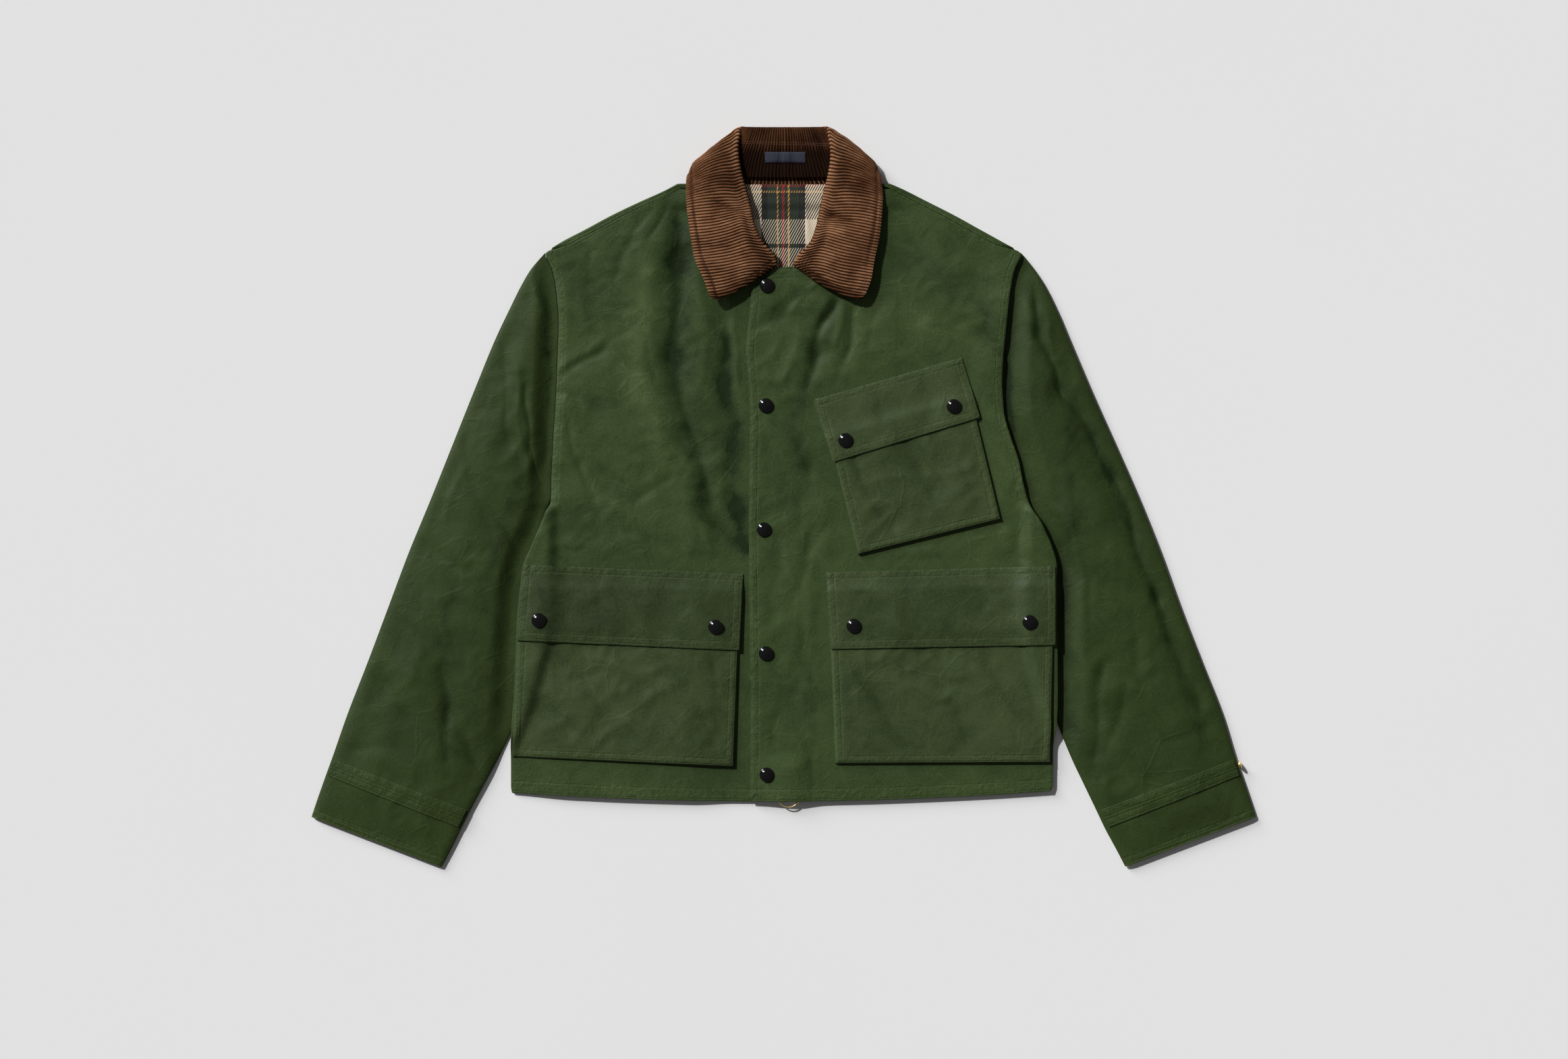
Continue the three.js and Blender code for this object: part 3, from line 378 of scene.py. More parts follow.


# Bands of painted shade and painted light beside the folds: the depth is a change of tone, and a negative
# one is painted shade. The darkest rows paint the shadows beside the fly and along the left armhole.
SHADES_RIGHT = table("x0 y0 x1 y1 width depth", """
-108 330 -112 240 13 -0.40
-112 240 -109 150 18 -0.38
-109 150 -100 60 19 -0.30
-100 60 -84 0 12 -0.38
-84 0 -45 -60 10 -0.32
-80 170 -66 60 16 -0.12
-66 60 -48 -40 13 -0.15
-86 285 -87 230 5 -0.25
-71 190 -62 150 6 -0.35
-62 160 -57 120 7 -0.5
-58 120 -53 60 9 -0.7
-53 60 -49 -10 8 -0.7
-49 -10 -37 -70 6 -0.55
-73 285 -75 238 6 0.3
-93 215 -88 180 6 0.15
-84 130 -74 50 7 0.2
-150 225 -146 110 17 0.4
-224 250 -218 205 6 -0.2
-204 205 -196 172 6 -0.22
-200 100 -192 20 9 -0.12
-160 10 -140 -60 12 -0.12
-222 20 -180 -6 7 0.2
""")
SHADES_LEFT = table("x0 y0 x1 y1 width depth", """
74 212 56 198 8 -0.35
56 198 30 148 10 -0.25
30 148 16 100 10 -0.35
16 100 16 35 10 -0.35
16 35 2 5 10 -0.2
-14 185 14 207 7 -0.4
174 230 204 185 10 -0.22
204 185 224 146 8 -0.22
240 210 236 170 6 -0.35
30 -190 40 -240 11 -0.3
38 -240 22 -270 9 -0.25
-24 -165 -14 -175 6 -0.25
38 108 38 92 6 -0.15
-22 130 -20 90 7 0.25
76 190 76 140 14 0.15
100 200 170 165 28 0.35
""")
SHADES_SLEEVE_RIGHT = table("x0 y0 x1 y1 width depth", """
-250 235 -245 150 5 -0.5
-245 150 -246 20 4.5 -0.5
-262 190 -268 60 9 -0.05
-272 40 -297 -60 7 -0.35
-297 -60 -300 -110 8 -0.2
-325 -45 -345 -75 7 -0.2
-345 -95 -352 -150 7 -0.28
-352 -150 -346 -262 7 -0.4
""")
SHADES_SLEEVE_LEFT = table("x0 y0 x1 y1 width depth", """
256 215 262 175 6 -0.4
262 180 276 100 7 -0.35
231 150 231 90 5 -0.9
232 90 240 15 5 -0.8
295 115 295 -20 8 -0.36
295 -20 292 -110 8 -0.42
292 -110 305 -250 8 -0.34
284 -50 290 -215 5 -0.4
318 72 335 20 7 -0.4
335 20 354 -20 7 -0.4
354 -20 384 -100 7 -0.38
384 -100 404 -150 7 -0.42
404 -150 432 -250 7 -0.28
""")


def body_edge(side, y):
    return curve(BODY_EDGE, "y", side, y)


def hem_line(x):
    """The curve of the hem, lowest near the middle."""
    return -315 + 10 * ((x + 15) / 280) ** 2


def hem_drop(x, y):
    return (hem_line(x) - PLAN_HEM) * ease((-262 - y) / 44)


def floor_rise(x, y):
    right = -between(SLEEVE_RINGS, "ry", "rx", y)
    left = between(SLEEVE_RINGS, "ly", "lx", y)
    tucked = np.where(x < 0, right, left)
    side = ease((np.abs(x) - tucked + 15) / 13) * ease((-5 - y) / 10)
    neck = ease((y - 296) / 10) * ease((130 - np.abs(x)) / 24)
    return 5.3 * side + 2.7 * neck


def outside(x, y, cx, cy, half_x, half_y, turn=0.0):
    """1 outside a turned rectangle, 0 inside it, with a soft rim."""
    c, s = np.cos(turn), np.sin(turn)
    u = np.abs((x - cx) * c + (y - cy) * s) - half_x
    v = np.abs(-(x - cx) * s + (y - cy) * c) - half_y
    return ease(np.maximum(u, v) / 14)


def soft_limit(value, low, high):
    """Keeps a height between two limits without leaving a sharp line where it meets them."""
    value = low + 0.5 * (value - low + np.sqrt((value - low) ** 2 + 0.5))
    return high - 0.5 * (high - value + np.sqrt((high - value) ** 2 + 0.5))


def loft_right(x, y):
    rest = 0.5 + 2.9 * ease((-50 - x) / 50) * ease((x + 283) / 60)
    neck = 1.7 * ease((y - 195) / 15) * ease((306 - y) / 8) * ease((x + 110) / 25)
    free = outside(x, y, *BEHIND_HIP_RIGHT) * ease((-42 - x) / 10)
    calm = ease((300 - y) / 30) * ease((y + 300) / 20)
    loose = creases(FOLDS_RIGHT, x, y) + 0.8 * crumple(x, y, 3) * calm
    return soft_limit(np.maximum(rest, neck) + loose * free, 0.35, 6.2)


def loft_left(x, y):
    rest = lerp(3.3, 2.9, ease((x - 40) / 120)) + 1.2 * ease((x - 120) / 60) * ease((y + 60) / 60)
    armhole = 2.2 * ease((x - body_edge("left", y) + 40) / 34) * ease((y + 12) / 30) * ease((256 - y) / 30)
    zip_bulge = 4.0 * bell((x - 5.3) / 22) * ease((-262 - y) / 20)
    free = outside(x, y, *BEHIND_HIP_LEFT) * outside(x, y, *BEHIND_CHEST)
    calm = ease((300 - y) / 30) * ease((y + 300) / 20)
    loose = creases(FOLDS_LEFT, x, y) + 0.8 * crumple(x, y, 11) * calm
    lowest = lerp(2.9, 0.4, ease((x - 20) / 22))
    neck = 0.9 * ease((y - 185) / 14) * ease((60 - x) / 25)
    return soft_limit(rest + loose * free, lowest, 6.2) + zip_bulge + neck + armhole


def front_top(x, y, loft):
    return CLOTH + floor_rise(x, y) + GAP + CLOTH + loft(x, y)


chest_height = float(front_top(np.array([-160.0]), np.array([100.0]), loft_right)[0])
print("front of the chest lies", round(chest_height, 1), "mm up")

# %% [markdown]
# ## Cloth from a grid
# A sheet of cloth starts as Blender's grid. Its columns and rows are then set to the places that
# the cut needs: an even step inside and two close rows at each rim, so that the rim can roll over.
# Solidify gives the thickness. A UV map in metres lets the weave keep its scale on every piece,
# the attribute `seams` holds the distance, in mm, to up to three kinds of sewn edges, and `tone`
# holds painted shade (below 0) and painted light (above 0), and a darker cast for the hip flaps.

# %% Tools for cloth
cut_areas = {}


def steps(start, stop, step, marks=()):
    """Even places from start to stop, with close ones at both rims and at any marks."""
    count = max(int(round((stop - start - 4) / step)), 1)
    places = [start, start + 0.7, stop - 0.7, stop, *np.linspace(start + 2, stop - 2, count + 1)]
    places = [p for p in places if all(abs(p - m) > 0.8 for m in marks)]
    return np.array(sorted([*places, *marks]))


def rim(distance, depth=0.55):
    """How far the top face drops close to an edge, so that it looks rolled and not cut."""
    return -depth * (1 - np.clip(distance / 1.8, 0, 1)) ** 2


def cloth(name, columns, rows, place, merge=False):
    """Lays a grid so that (column, row) lands on place(column, row) -> x, y, z, uv, seams, tone."""
    bpy.ops.object.select_all(action="DESELECT")
    across, along = len(columns) - 1, len(rows) - 1
    bpy.ops.mesh.primitive_grid_add(x_subdivisions=across, y_subdivisions=along, size=1)
    piece = bpy.context.object
    piece.name = piece.data.name = name
    mesh = piece.data
    flat = np.empty(len(mesh.vertices) * 3)
    mesh.vertices.foreach_get("co", flat)
    flat = flat.reshape(-1, 3)
    i = np.rint((flat[:, 0] + 0.5) * across).astype(int)
    j = np.rint((flat[:, 1] + 0.5) * along).astype(int)
    x, y, z, uv, seams, tone = place(columns[i], rows[j])
    points = np.stack([x, y, z], axis=1) * MM
    mesh.vertices.foreach_set("co", points.ravel())
    corners = np.empty(len(mesh.loops), dtype=np.int32)
    mesh.loops.foreach_get("vertex_index", corners)
    mesh.uv_layers[0].data.foreach_set("uv", (np.stack(uv, axis=1) * MM)[corners].ravel())
    held = mesh.attributes.new("seams", "FLOAT_VECTOR", "POINT")
    rows_of = [np.broadcast_to(np.asarray(s, dtype=float), x.shape) for s in seams]
    held.data.foreach_set("vector", np.stack(rows_of, axis=1).ravel())
    shade = mesh.attributes.new("tone", "FLOAT", "POINT")
    shade.data.foreach_set("value", np.broadcast_to(np.asarray(tone, dtype=float), x.shape).copy())
    mesh.update()
    if merge:
        bpy.ops.object.mode_set(mode="EDIT")
        bpy.ops.mesh.select_all(action="SELECT")
        bpy.ops.mesh.remove_doubles(threshold=0.00005)
        bpy.ops.object.mode_set(mode="OBJECT")
    cut_areas[name] = sum(face.area for face in piece.data.polygons)
    return piece


def thicken(piece, thickness, offset=-1.0, angle=0.9):
    """Gives the sheet its thickness and smooths it, with crisp lines only at its cut edges."""
    wall = piece.modifiers.new("thickness", "SOLIDIFY")
    wall.thickness = thickness * MM
    wall.offset = offset
    bpy.ops.object.select_all(action="DESELECT")
    piece.select_set(True)
    bpy.context.view_layer.objects.active = piece
    bpy.ops.object.modifier_apply(modifier=wall.name)
    bpy.ops.object.shade_smooth_by_angle(angle=angle)
    area = cut_areas[piece.name]
    print(piece.name, len(piece.data.polygons), "faces,", round(area, 4), "square metres of cloth")
    return piece


def surface_of(*pieces):
    """What can be felt from above: the shapes that a later piece will be laid on."""
    points, faces = [], []
    for piece in pieces:
        first = len(points)
        points += [v.co for v in piece.data.vertices]
        faces += [[first + k for k in p.vertices] for p in piece.data.polygons]
    return BVHTree.FromPolygons(points, faces)


def felt(surface, x, y, reach=0.0, empty=0.0):
    """Highest place of a surface, in mm, at or near each (x, y)."""
    beside = [(0.0, 0.0)]
    if reach > 0:
        beside += [(reach * np.cos(turn), reach * np.sin(turn)) for turn in np.arange(8) * pi / 4]
    heights = np.full(x.shape, -np.inf)
    down = Vector((0, 0, -1))
    for dx, dy in beside:
        for k in range(len(x)):
            hit = surface.ray_cast(Vector(((x[k] + dx) * MM, (y[k] + dy) * MM, 0.2)), down)[0]
            if hit is not None:
                heights[k] = max(heights[k], hit.z / MM)
    return np.where(np.isinf(heights), empty, heights)


# %% [markdown]
# ## The back panel
# On the real jacket the back is one wide piece. Its shoulders come over to the front, so that the
# shoulder seam shows a thumb's width inside the outline. The grid is therefore wrapped: its first
# and last columns lie on the front, turn round the shoulder and go on underneath.

# %% Back panel
def back_place(column, row):
    y = row
    wrap = ease((y - SHOULDER) / 8)
    half = np.where(column < 0, -1.0, 1.0)
    side = np.where(column < 0, body_edge("right", y), body_edge("left", y))
    inset = 0.3 * (1 - wrap)
    edge = side - half * inset
    lie = 100 - np.abs(column)
    under = floor_rise(edge - half * 4, y)
    x_lap = edge - half * SHOULDER_LAP
    upper = np.where(column < 0, front_top(x_lap, y, loft_right), front_top(x_lap, y, loft_left))
    radius = (upper - under) / 2
    turn = np.clip((14 - lie) / 8, 0, 1) * pi
    lap_x = lerp(radius, SHOULDER_LAP, np.clip((6 - lie) / 6, 0, 1))
    turned_x = np.where(lie < 6, lap_x, radius * (1 - np.sin(turn)))
    turned_z = np.where(lie < 6, upper, under + radius * (1 - np.cos(turn)))
    flat_x = lie * 0.5
    dx = lerp(flat_x, turned_x, wrap)
    z_rim = lerp(under, turned_z, wrap)
    inner = np.clip((lie - 14) / 86, 0, 1)
    x = np.where(lie < 14, edge - half * dx, 0)
    x_start = edge - half * lerp(7.0, radius, wrap)
    x = np.where(lie >= 14, lerp(x_start, 0.5 * (body_edge("right", y) + body_edge("left", y)), inner), x)
    z = np.where(lie < 14, z_rim, floor_rise(x, y))
    drape = 0.5 * (1 + soft_noise(x + 0.3 * y, y, 60, 21)) * ease((lie - 16) / 8)
    z = z + drape * 0.7
    y = y + hem_drop(x, row)
    lap_seam = np.where(wrap > 0.5, SHOULDER_LAP - turned_x + 2, NO_SEAM)
    seams = (NO_SEAM, y - hem_line(x), lap_seam)
    return x, y, z, (x, y), seams, 0 * x


def back_columns():
    rim_places = [100, 99, 98, 97, 96, 95, 94, 93, 92, 91, 90, 89, 88, 87, 86]
    inner = list(np.linspace(84.5, 0, 60))
    half = rim_places + inner
    return np.array([-c for c in half] + [c for c in reversed(half[:-1])])


back_panel = cloth("back_panel_cloth", back_columns(), steps(PLAN_HEM, 324.5, 4.0, (SHOULDER,)), back_place)
thicken(back_panel, 1.0, offset=1.0)

# %% [markdown]
# ## The two fronts
# The wearer's left front laps over the right one, and its edge is the fly that carries the snaps.
# Each front is one sheet between its side and its centre edge. The folds come from the tables
# above: a broad dark trough runs down from the collar to the fly on one side, and finer pulls
# run from the neck on the other. Under the pockets the cloth lies calm.

# %% Front panels
FRONT_MARKS = (218.0, 221.0, 237.0, 240.0, SHOULDER)


def shoulder_inset(y):
    return (SHOULDER_LAP + GAP) * ease((y - SHOULDER) / 8) + GAP


def hem_distance(x, y):
    return y - hem_line(x)


def side_roll(distance, y, depth):
    """The body cloth rolls down to the sleeve along the armhole."""
    beside_sleeve = ease((y + 20) / 30) * ease((250 - y) / 10)
    return -depth * (1 - ease(distance / 7)) * beside_sleeve


def front_right_place(column, row):
    y = row
    start = body_edge("right", y) + shoulder_inset(y)
    neck = between(NECK_EDGE, "y", "right", y)
    stop = np.where(y < 236, between(UNDERLAP_EDGE, "y", "x", y), neck)
    x = lerp(start, stop, column)
    side = x - start
    centre = stop - x
    z = front_top(x, y, loft_right) + side_roll(side, y, 1.2)
    y_seen = y + hem_drop(x, row)
    bottom = hem_distance(x, y_seen)
    z = z + rim(least(side, centre, bottom))
    # Painted shade and light along the folds, and painted shade and light from the bands.
    tone = shade_of(FOLDS_RIGHT, x, y) * 0.05 + painted_shading_bands(SHADES_RIGHT, x, y)
    tone = tone * outside(x, y, *BEHIND_HIP_RIGHT)
    seams = (NO_SEAM, bottom, np.where(y > 250, side - 0.5, np.where(y > -12, side, NO_SEAM)))
    return x, y_seen, z, (x, y), seams, tone


def front_left_place(column, row):
    y = row
    neck = between(NECK_EDGE, "y", "left", y)
    start = np.where(y <= 240, between(FLY_EDGE, "y", "x", y), neck)
    stop = body_edge("left", y) - shoulder_inset(y)
    x = lerp(start, stop, column)
    side = stop - x
    centre = x - start
    z = front_top(x, y, loft_left) + side_roll(side, y, 0.4)
    y_seen = y + hem_drop(x, row)
    bottom = hem_distance(x, y_seen)
    top = np.where(x < 16, np.maximum(237.5 + 0.06 * np.maximum(x + 11, 0) - y, 0), NO_SEAM)
    fly = np.where(y < 241, np.minimum(centre, 0.7 * top + 0.3), NO_SEAM)
    fly = np.where(y < 217, centre, fly)
    z = z + rim(least(side, np.where(y < 241, centre, NO_SEAM), bottom))
    # Painted shade and light along the folds, and painted shade and light from the bands.
    tone = shade_of(FOLDS_LEFT, x, y) * 0.05 + painted_shading_bands(SHADES_LEFT, x, y)
    tone = tone * outside(x, y, *BEHIND_HIP_LEFT)
    seams = (fly, bottom, np.where(y > 250, side - 0.5, np.where(y > -12, side, NO_SEAM)))
    return x, y_seen, z, (x, y), seams, tone


def panel_columns(width, step, from_left):
    places = steps(0.0, width, step, (width - 8.0,) if from_left else (8.0,))
    return places / width


right_rows = steps(PLAN_HEM, 319, 2.8, (SHOULDER,))
front_right = cloth("front_right_cloth", panel_columns(255.0, 2.8, True), right_rows, front_right_place)
thicken(front_right, 1.2)
left_rows = steps(PLAN_HEM, 319, 2.8, FRONT_MARKS)
front_left = cloth("front_left_cloth", panel_columns(275.0, 2.8, False), left_rows, front_left_place)
thicken(front_left, 1.2)

# %% [markdown]
# ## The neck of the lining
# Only a patch of the checked lining shows inside the collar. It lies on the back's inner face.

# %% Lining at the neck
LINING = table("y half", """
219 13
229 20
240 28
255 40
270 49
285 55
299 58
305 59
311 60
324 60
""")


def lining_place(column, row):
    y = row
    x = column * between(LINING, "y", "half", y)
    z = CLOTH + floor_rise(x, y) + GAP + 1.0
    fold = 1.1 * bell((x - 22 - 0.12 * (300 - y)) / 3.2) * ease((y - 262) / 20)
    wave = 0.35 * (1 + soft_noise(x, y, 26, 31))
    z = z + fold + wave
    return x, y, z, (x, y), (NO_SEAM, NO_SEAM, NO_SEAM), 0 * x


lining = cloth("neck_lining_cloth", np.linspace(-1, 1, 61), steps(219, 324, 2.0), lining_place)
thicken(lining, 0.8)

# %% [markdown]
# ## The sleeves
# A sleeve is a flattened tube that is open at the cuff and at the armhole. The grid goes once
# round it: over the top from the outer to the inner fold and back underneath, and its two edges
# are then merged. The loft falls in a valley beside the body, where the armhole pulls it down.

# %% Sleeves
CUFF_END = -331.0
FOLDS_SLEEVE_RIGHT = table("x0 y0 x1 y1 width depth", """
-352 -185 -346 -270 8 -2.6
-346 -222 -318 -272 6 -2.0
-334 -250 -304 -292 6 -1.2
-304 -110 -270 -170 9 -1.2
-262 232 -247 190 5 1.8
-267 112 -262 48 4.5 -1.5
-262 48 -246 4 4.5 -1.6
-276 130 -272 60 6 1.0
-296 175 -282 60 10 -1.4
-330 60 -306 -30 12 -1.2
-380 -40 -330 -75 10 -1.3
-300 -20 -262 -60 8 -1.3
-290 20 -256 -20 7 0.8
-420 -190 -380 -235 10 -1.4
-400 -130 -360 -150 10 -1.1
-440 -260 -400 -262 9 -0.8
-356 -130 -330 -190 9 0.9
-330 30 -350 -20 9 0.8
-390 -180 -350 -205 8 0.8
-262 -60 -256 -110 6 -1.0
""")
FOLDS_SLEEVE_LEFT = table("x0 y0 x1 y1 width depth", """
260 215 266 172 6 -2.2
263 170 288 112 7 -2.8
288 112 345 20 8 -2.6
345 20 385 -105 8 -2.4
385 -105 430 -215 9 -2.0
272 190 280 150 6 1.2
300 70 352 -30 10 -1.0
330 -180 322 -265 8 -2.0
352 -205 336 -262 7 -1.3
308 -60 318 -120 10 -1.0
400 -60 420 -120 10 -1.0
290 10 306 -60 10 1.0
360 -130 372 -190 9 -0.9
440 -235 400 -250 9 -0.9
300 -150 330 -210 8 0.9
""")


def sleeve_place(side):
    left = side == "left"
    sign = 1.0 if left else -1.0
    ix, iy = ("lx", "ly") if left else ("rx", "ry")
    folds = FOLDS_SLEEVE_LEFT if left else FOLDS_SLEEVE_RIGHT
    shades = SHADES_SLEEVE_LEFT if left else SHADES_SLEEVE_RIGHT
    low = 3.2 if left else 3.4
    puff = 4.2

    def place(column, row):
        around = 1 - column if left else column
        above = around <= 0.5
        t = np.where(above, 2 * around, 2 - 2 * around)
        outer_x, outer_y = curve(SLEEVE_OUTER, "y", side, row), row
        inner_x, inner_y = curve(SLEEVE_RINGS, "oy", ix, row), curve(SLEEVE_RINGS, "oy", iy, row)
        bow = curve(SLEEVE_RINGS, "oy", "bow", row)
        top_limit = curve(SLEEVE_RINGS, "oy", "top", row)
        chord = lerp(body_edge(side, SHOULDER), body_edge(side, UNDERARM), t)
        armhole = body_edge(side, lerp(SHOULDER, UNDERARM, t))
        x = lerp(outer_x, inner_x, t) + bow * (armhole - chord)
        y = lerp(outer_y, inner_y, t)
        width = np.hypot(inner_x - outer_x, inner_y - outer_y)
        from_edge = np.minimum(t, 1 - t) * width
        beside = sign * x - np.abs(body_edge(side, np.clip(y, PLAN_HEM, SHOULDER)))
        away = ease((beside - 5) / (24 if left else 20))
        near_cuff = ease((row - CUFF_END) / 60)
        full = np.minimum(top_limit, 6.9) + puff * near_cuff * ease((from_edge - 6) / 46)
        cap = lerp(low, full, away)
        bulge = quarter_round(from_edge / 11)
        fold_high = np.where(t < 0.5, 3.6, lerp(1.9, 3.2, away))
        crown = lerp(fold_high, cap, bulge)
        loose = (creases(folds, x, y) + 0.75 * crumple(x, y, 41 if left else 43)) * away
        loose = loose * ease(from_edge / 20) * ease((row + 322) / 20)
        top = np.maximum(crown + loose, lerp(fold_high, 3.1, ease(from_edge / 5)))
        under = fold_high * (1 - quarter_round(from_edge / 6))
        z = np.where(above, top, under)
        cuff = (row - CUFF_END) * 0.95
        by_armhole = (1 - away) * (beside > -3)
        # Painted shade and light along the folds and bands; beside the armhole the left sleeve gets painted
        # shadow of the body and the right one painted light.
        tone = shade_of(folds, x, y) * 0.05 * away + painted_shading_bands(shades, x, y)
        tone = tone + (-0.1 if left else 0.12) * by_armhole
        seams = (cuff, NO_SEAM, NO_SEAM)
        return x, y, z, (around * 2 * width, row), seams, np.where(above, tone, 0)

    return place


def around_columns():
    half = steps(0.0, 170.0, 3.2) / 340.0
    return np.concatenate([half, 0.5 + half[1:]])


sleeves = {}
for side in ("right", "left"):
    lengthwise = steps(CUFF_END, SHOULDER, 3.4)
    sleeve = cloth(f"sleeve_{side}_cloth", around_columns(), lengthwise, sleeve_place(side), merge=True)
    sleeves[side] = thicken(sleeve, 1.0)

# %% [markdown]
# ## Cuff straps
# A narrow band is sewn across the top of each sleeve above the cuff. It is laid on the finished
# sleeve: a ray cast straight down feels where the sleeve is, and the band takes that height.

# %% Cuff straps
def strap_place(side):
    sign = 1 if side == "left" else -1
    feel = surface_of(sleeves[side])
    ends = np.array([[472.2, -288.0], [465.6, -271.5]]), np.array([[337.2, -341.5], [328.5, -323.5]])

    def place(column, row):
        t = column if side == "right" else 1 - column
        ax = lerp(ends[0][0, 0], ends[0][1, 0], row)
        ay = lerp(ends[0][0, 1], ends[0][1, 1], row)
        bx = lerp(ends[1][0, 0], ends[1][1, 0], row)
        by = lerp(ends[1][0, 1], ends[1][1, 1], row)
        x, y = sign * lerp(ax, bx, t), lerp(ay, by, t)
        z = felt(feel, x, y, 2.0) + 0.15 + 1.1
        distance = np.minimum(row, 1 - row) * 18
        z = z + rim(distance, 0.5)
        return x, y, z, (column * 145, row * 18), (distance, NO_SEAM, NO_SEAM), 0 * x

    return place


straps = {}
for side in ("right", "left"):
    name = f"cuff_strap_{side}_cloth"
    across = np.array([0, 0.03, 0.12, 0.3, 0.5, 0.7, 0.88, 0.97, 1])
    strap = cloth(name, np.linspace(0, 1, 59), across, strap_place(side))
    straps[side] = thicken(strap, 1.1)

# %% [markdown]
# ## Patch pockets
# Each pocket is a four-cornered patch with a gusset: its rim is sewn to the front and its face
# stands a few millimetres higher, most at the bottom. The table gives the four corners of each
# pocket and then the lift at each of them, and listed creases soften the face.

# %% Pocket bags
POCKETS = {
    "pocket_hip_right": (
        ((-281.3, -268.5), (-51.5, -279.3), (-272.5, -92), (-44.5, -96)), (2.4, 5.3, 2.3, 3.2)
    ),
    "pocket_hip_left": (((53.5, -275.8), (276.3, -274.8), (46, -96), (280.2, -90)), (4.2, 4.6, 3.2, 2.6)),
    "pocket_chest": (((77, -59.5), (225, -23), (46.5, 62), (194.5, 104)), (4.4, 4.6, 2.8, 2.8)),
}
FOLDS_POCKETS = table("x0 y0 x1 y1 width depth", """
-262 -205 -215 -240 10 -0.8
-232 -166 -150 -262 12 -0.7
-120 -170 -70 -250 11 -0.8
-200 -170 -120 -190 10 0.5
-75 -170 -60 -265 8 -0.6
70 -180 130 -255 12 -0.8
150 -165 190 -250 12 -0.6
210 -170 262 -240 11 -0.8
95 -190 180 -205 10 0.5
62 -170 75 -260 8 -0.6
72 40 110 -30 10 -0.9
120 60 170 -20 11 -0.8
95 15 190 30 9 0.6
150 70 205 0 9 -0.7
""")


def corner(corners, u, v):
    a, b, c, d = [np.array(p, dtype=float) for p in corners]
    x = lerp(lerp(a[0], b[0], u), lerp(c[0], d[0], u), v)
    y = lerp(lerp(a[1], b[1], u), lerp(c[1], d[1], u), v)
    return x, y


def sizes_of(corners):
    a, b, c, d = [np.array(p, dtype=float) for p in corners]
    width = 0.5 * (np.linalg.norm(b - a) + np.linalg.norm(d - c))
    height = 0.5 * (np.linalg.norm(c - a) + np.linalg.norm(d - b))
    return width, height


def bag_place(corners, lift, base, seed):
    width, height = sizes_of(corners)
    feel = surface_of(base)

    def place(column, row):
        u, v = column / width, row / height
        x, y = corner(corners, u, v)
        ground = felt(feel, x, y, 3.0)
        side_l, side_r, low, high = column, width - column, row, height - row
        distance = least(side_l, side_r, low, high)
        rise = lerp(lerp(lift[0], lift[1], u), lerp(lift[2], lift[3], u), v)
        soft = 0.6 * np.sin(u * 7 + v * 5) * np.sin(pi * u) * np.sin(pi * v)
        inside = ease((distance - 4) / 20)
        loose = (1.5 * creases(FOLDS_POCKETS, x, y) + 0.9 * crumple(x, y, seed)) * inside
        face = ground + np.maximum(2.0, rise + soft + loose)
        shoulder = quarter_round(distance / 2.0)
        z = lerp(ground + 0.35, face, shoulder)
        # Painted shade and light of the creases, set off to the side turned from the light.
        tone = shade_of(FOLDS_POCKETS, x, y) * 0.15 * inside
        seams = (least(side_l, side_r, low), NO_SEAM, NO_SEAM)
        return x, y, z, (column, row), seams, tone

    return place, steps(0.0, width, 2.8), steps(0.0, height, 2.8)


bags = {}
for seed, (name, (corners, lift)) in enumerate(POCKETS.items()):
    base = front_right if name.endswith("right") else front_left
    place, columns, rows = bag_place(corners, lift, base, 50 + seed)
    bags[name] = thicken(cloth(f"{name}_cloth", columns, rows, place), 1.0)

# %% [markdown]
# ## Pocket flaps
# A flap is sewn on along its top and lies loose over the pocket. Its height is felt from the front
# and the bag beneath, then smoothed many times, because stiff waxed cloth bridges small steps.

# %% Flaps
FLAPS = {
    "flap_hip_right": ((-276.3, -148), (-46, -158.3), (-269.4, -69.6), (-42, -79)),
    "flap_hip_left": ((48.5, -157), (281, -152.6), (44, -77.6), (281, -71)),
    "flap_chest": ((51, 36.4), (203.5, 82.6), (31, 101), (184.5, 145)),
}
FOLDS_FLAPS = table("x0 y0 x1 y1 width depth", """
-200 -72 -190 -110 9 -0.5
-120 -78 -128 -140 11 -0.5
-235 -90 -150 -130 10 0.3
120 -76 132 -130 11 -0.5
215 -76 205 -120 9 -0.5
100 -95 190 -130 11 0.3
95 105 100 70 9 -0.6
150 120 150 80 9 -0.5
""")
SNAPS = {
    "snap_fly_1": (-17.3, 219.2),
    "snap_fly_2": (-18.5, 95.1),
    "snap_fly_3": (-20.3, -33.4),
    "snap_fly_4": (-18.4, -161.5),
    "snap_fly_5": (-17.5, -287),
    "snap_hip_right_1": (-253, -127),
    "snap_hip_right_2": (-70.5, -134),
    "snap_hip_left_1": (72.5, -133),
    "snap_hip_left_2": (254, -129),
    "snap_chest_1": (64, 59),
    "snap_chest_2": (176, 94),
}


def pressed(x, y):
    """A snap pulls the cloth down a little all round it."""
    total = np.zeros_like(x)
    for sx, sy in SNAPS.values():
        r = np.hypot(x - sx, y - sy)
        total -= 0.7 * bell(r / 10) * ease((60 - r) / 20)
    return total


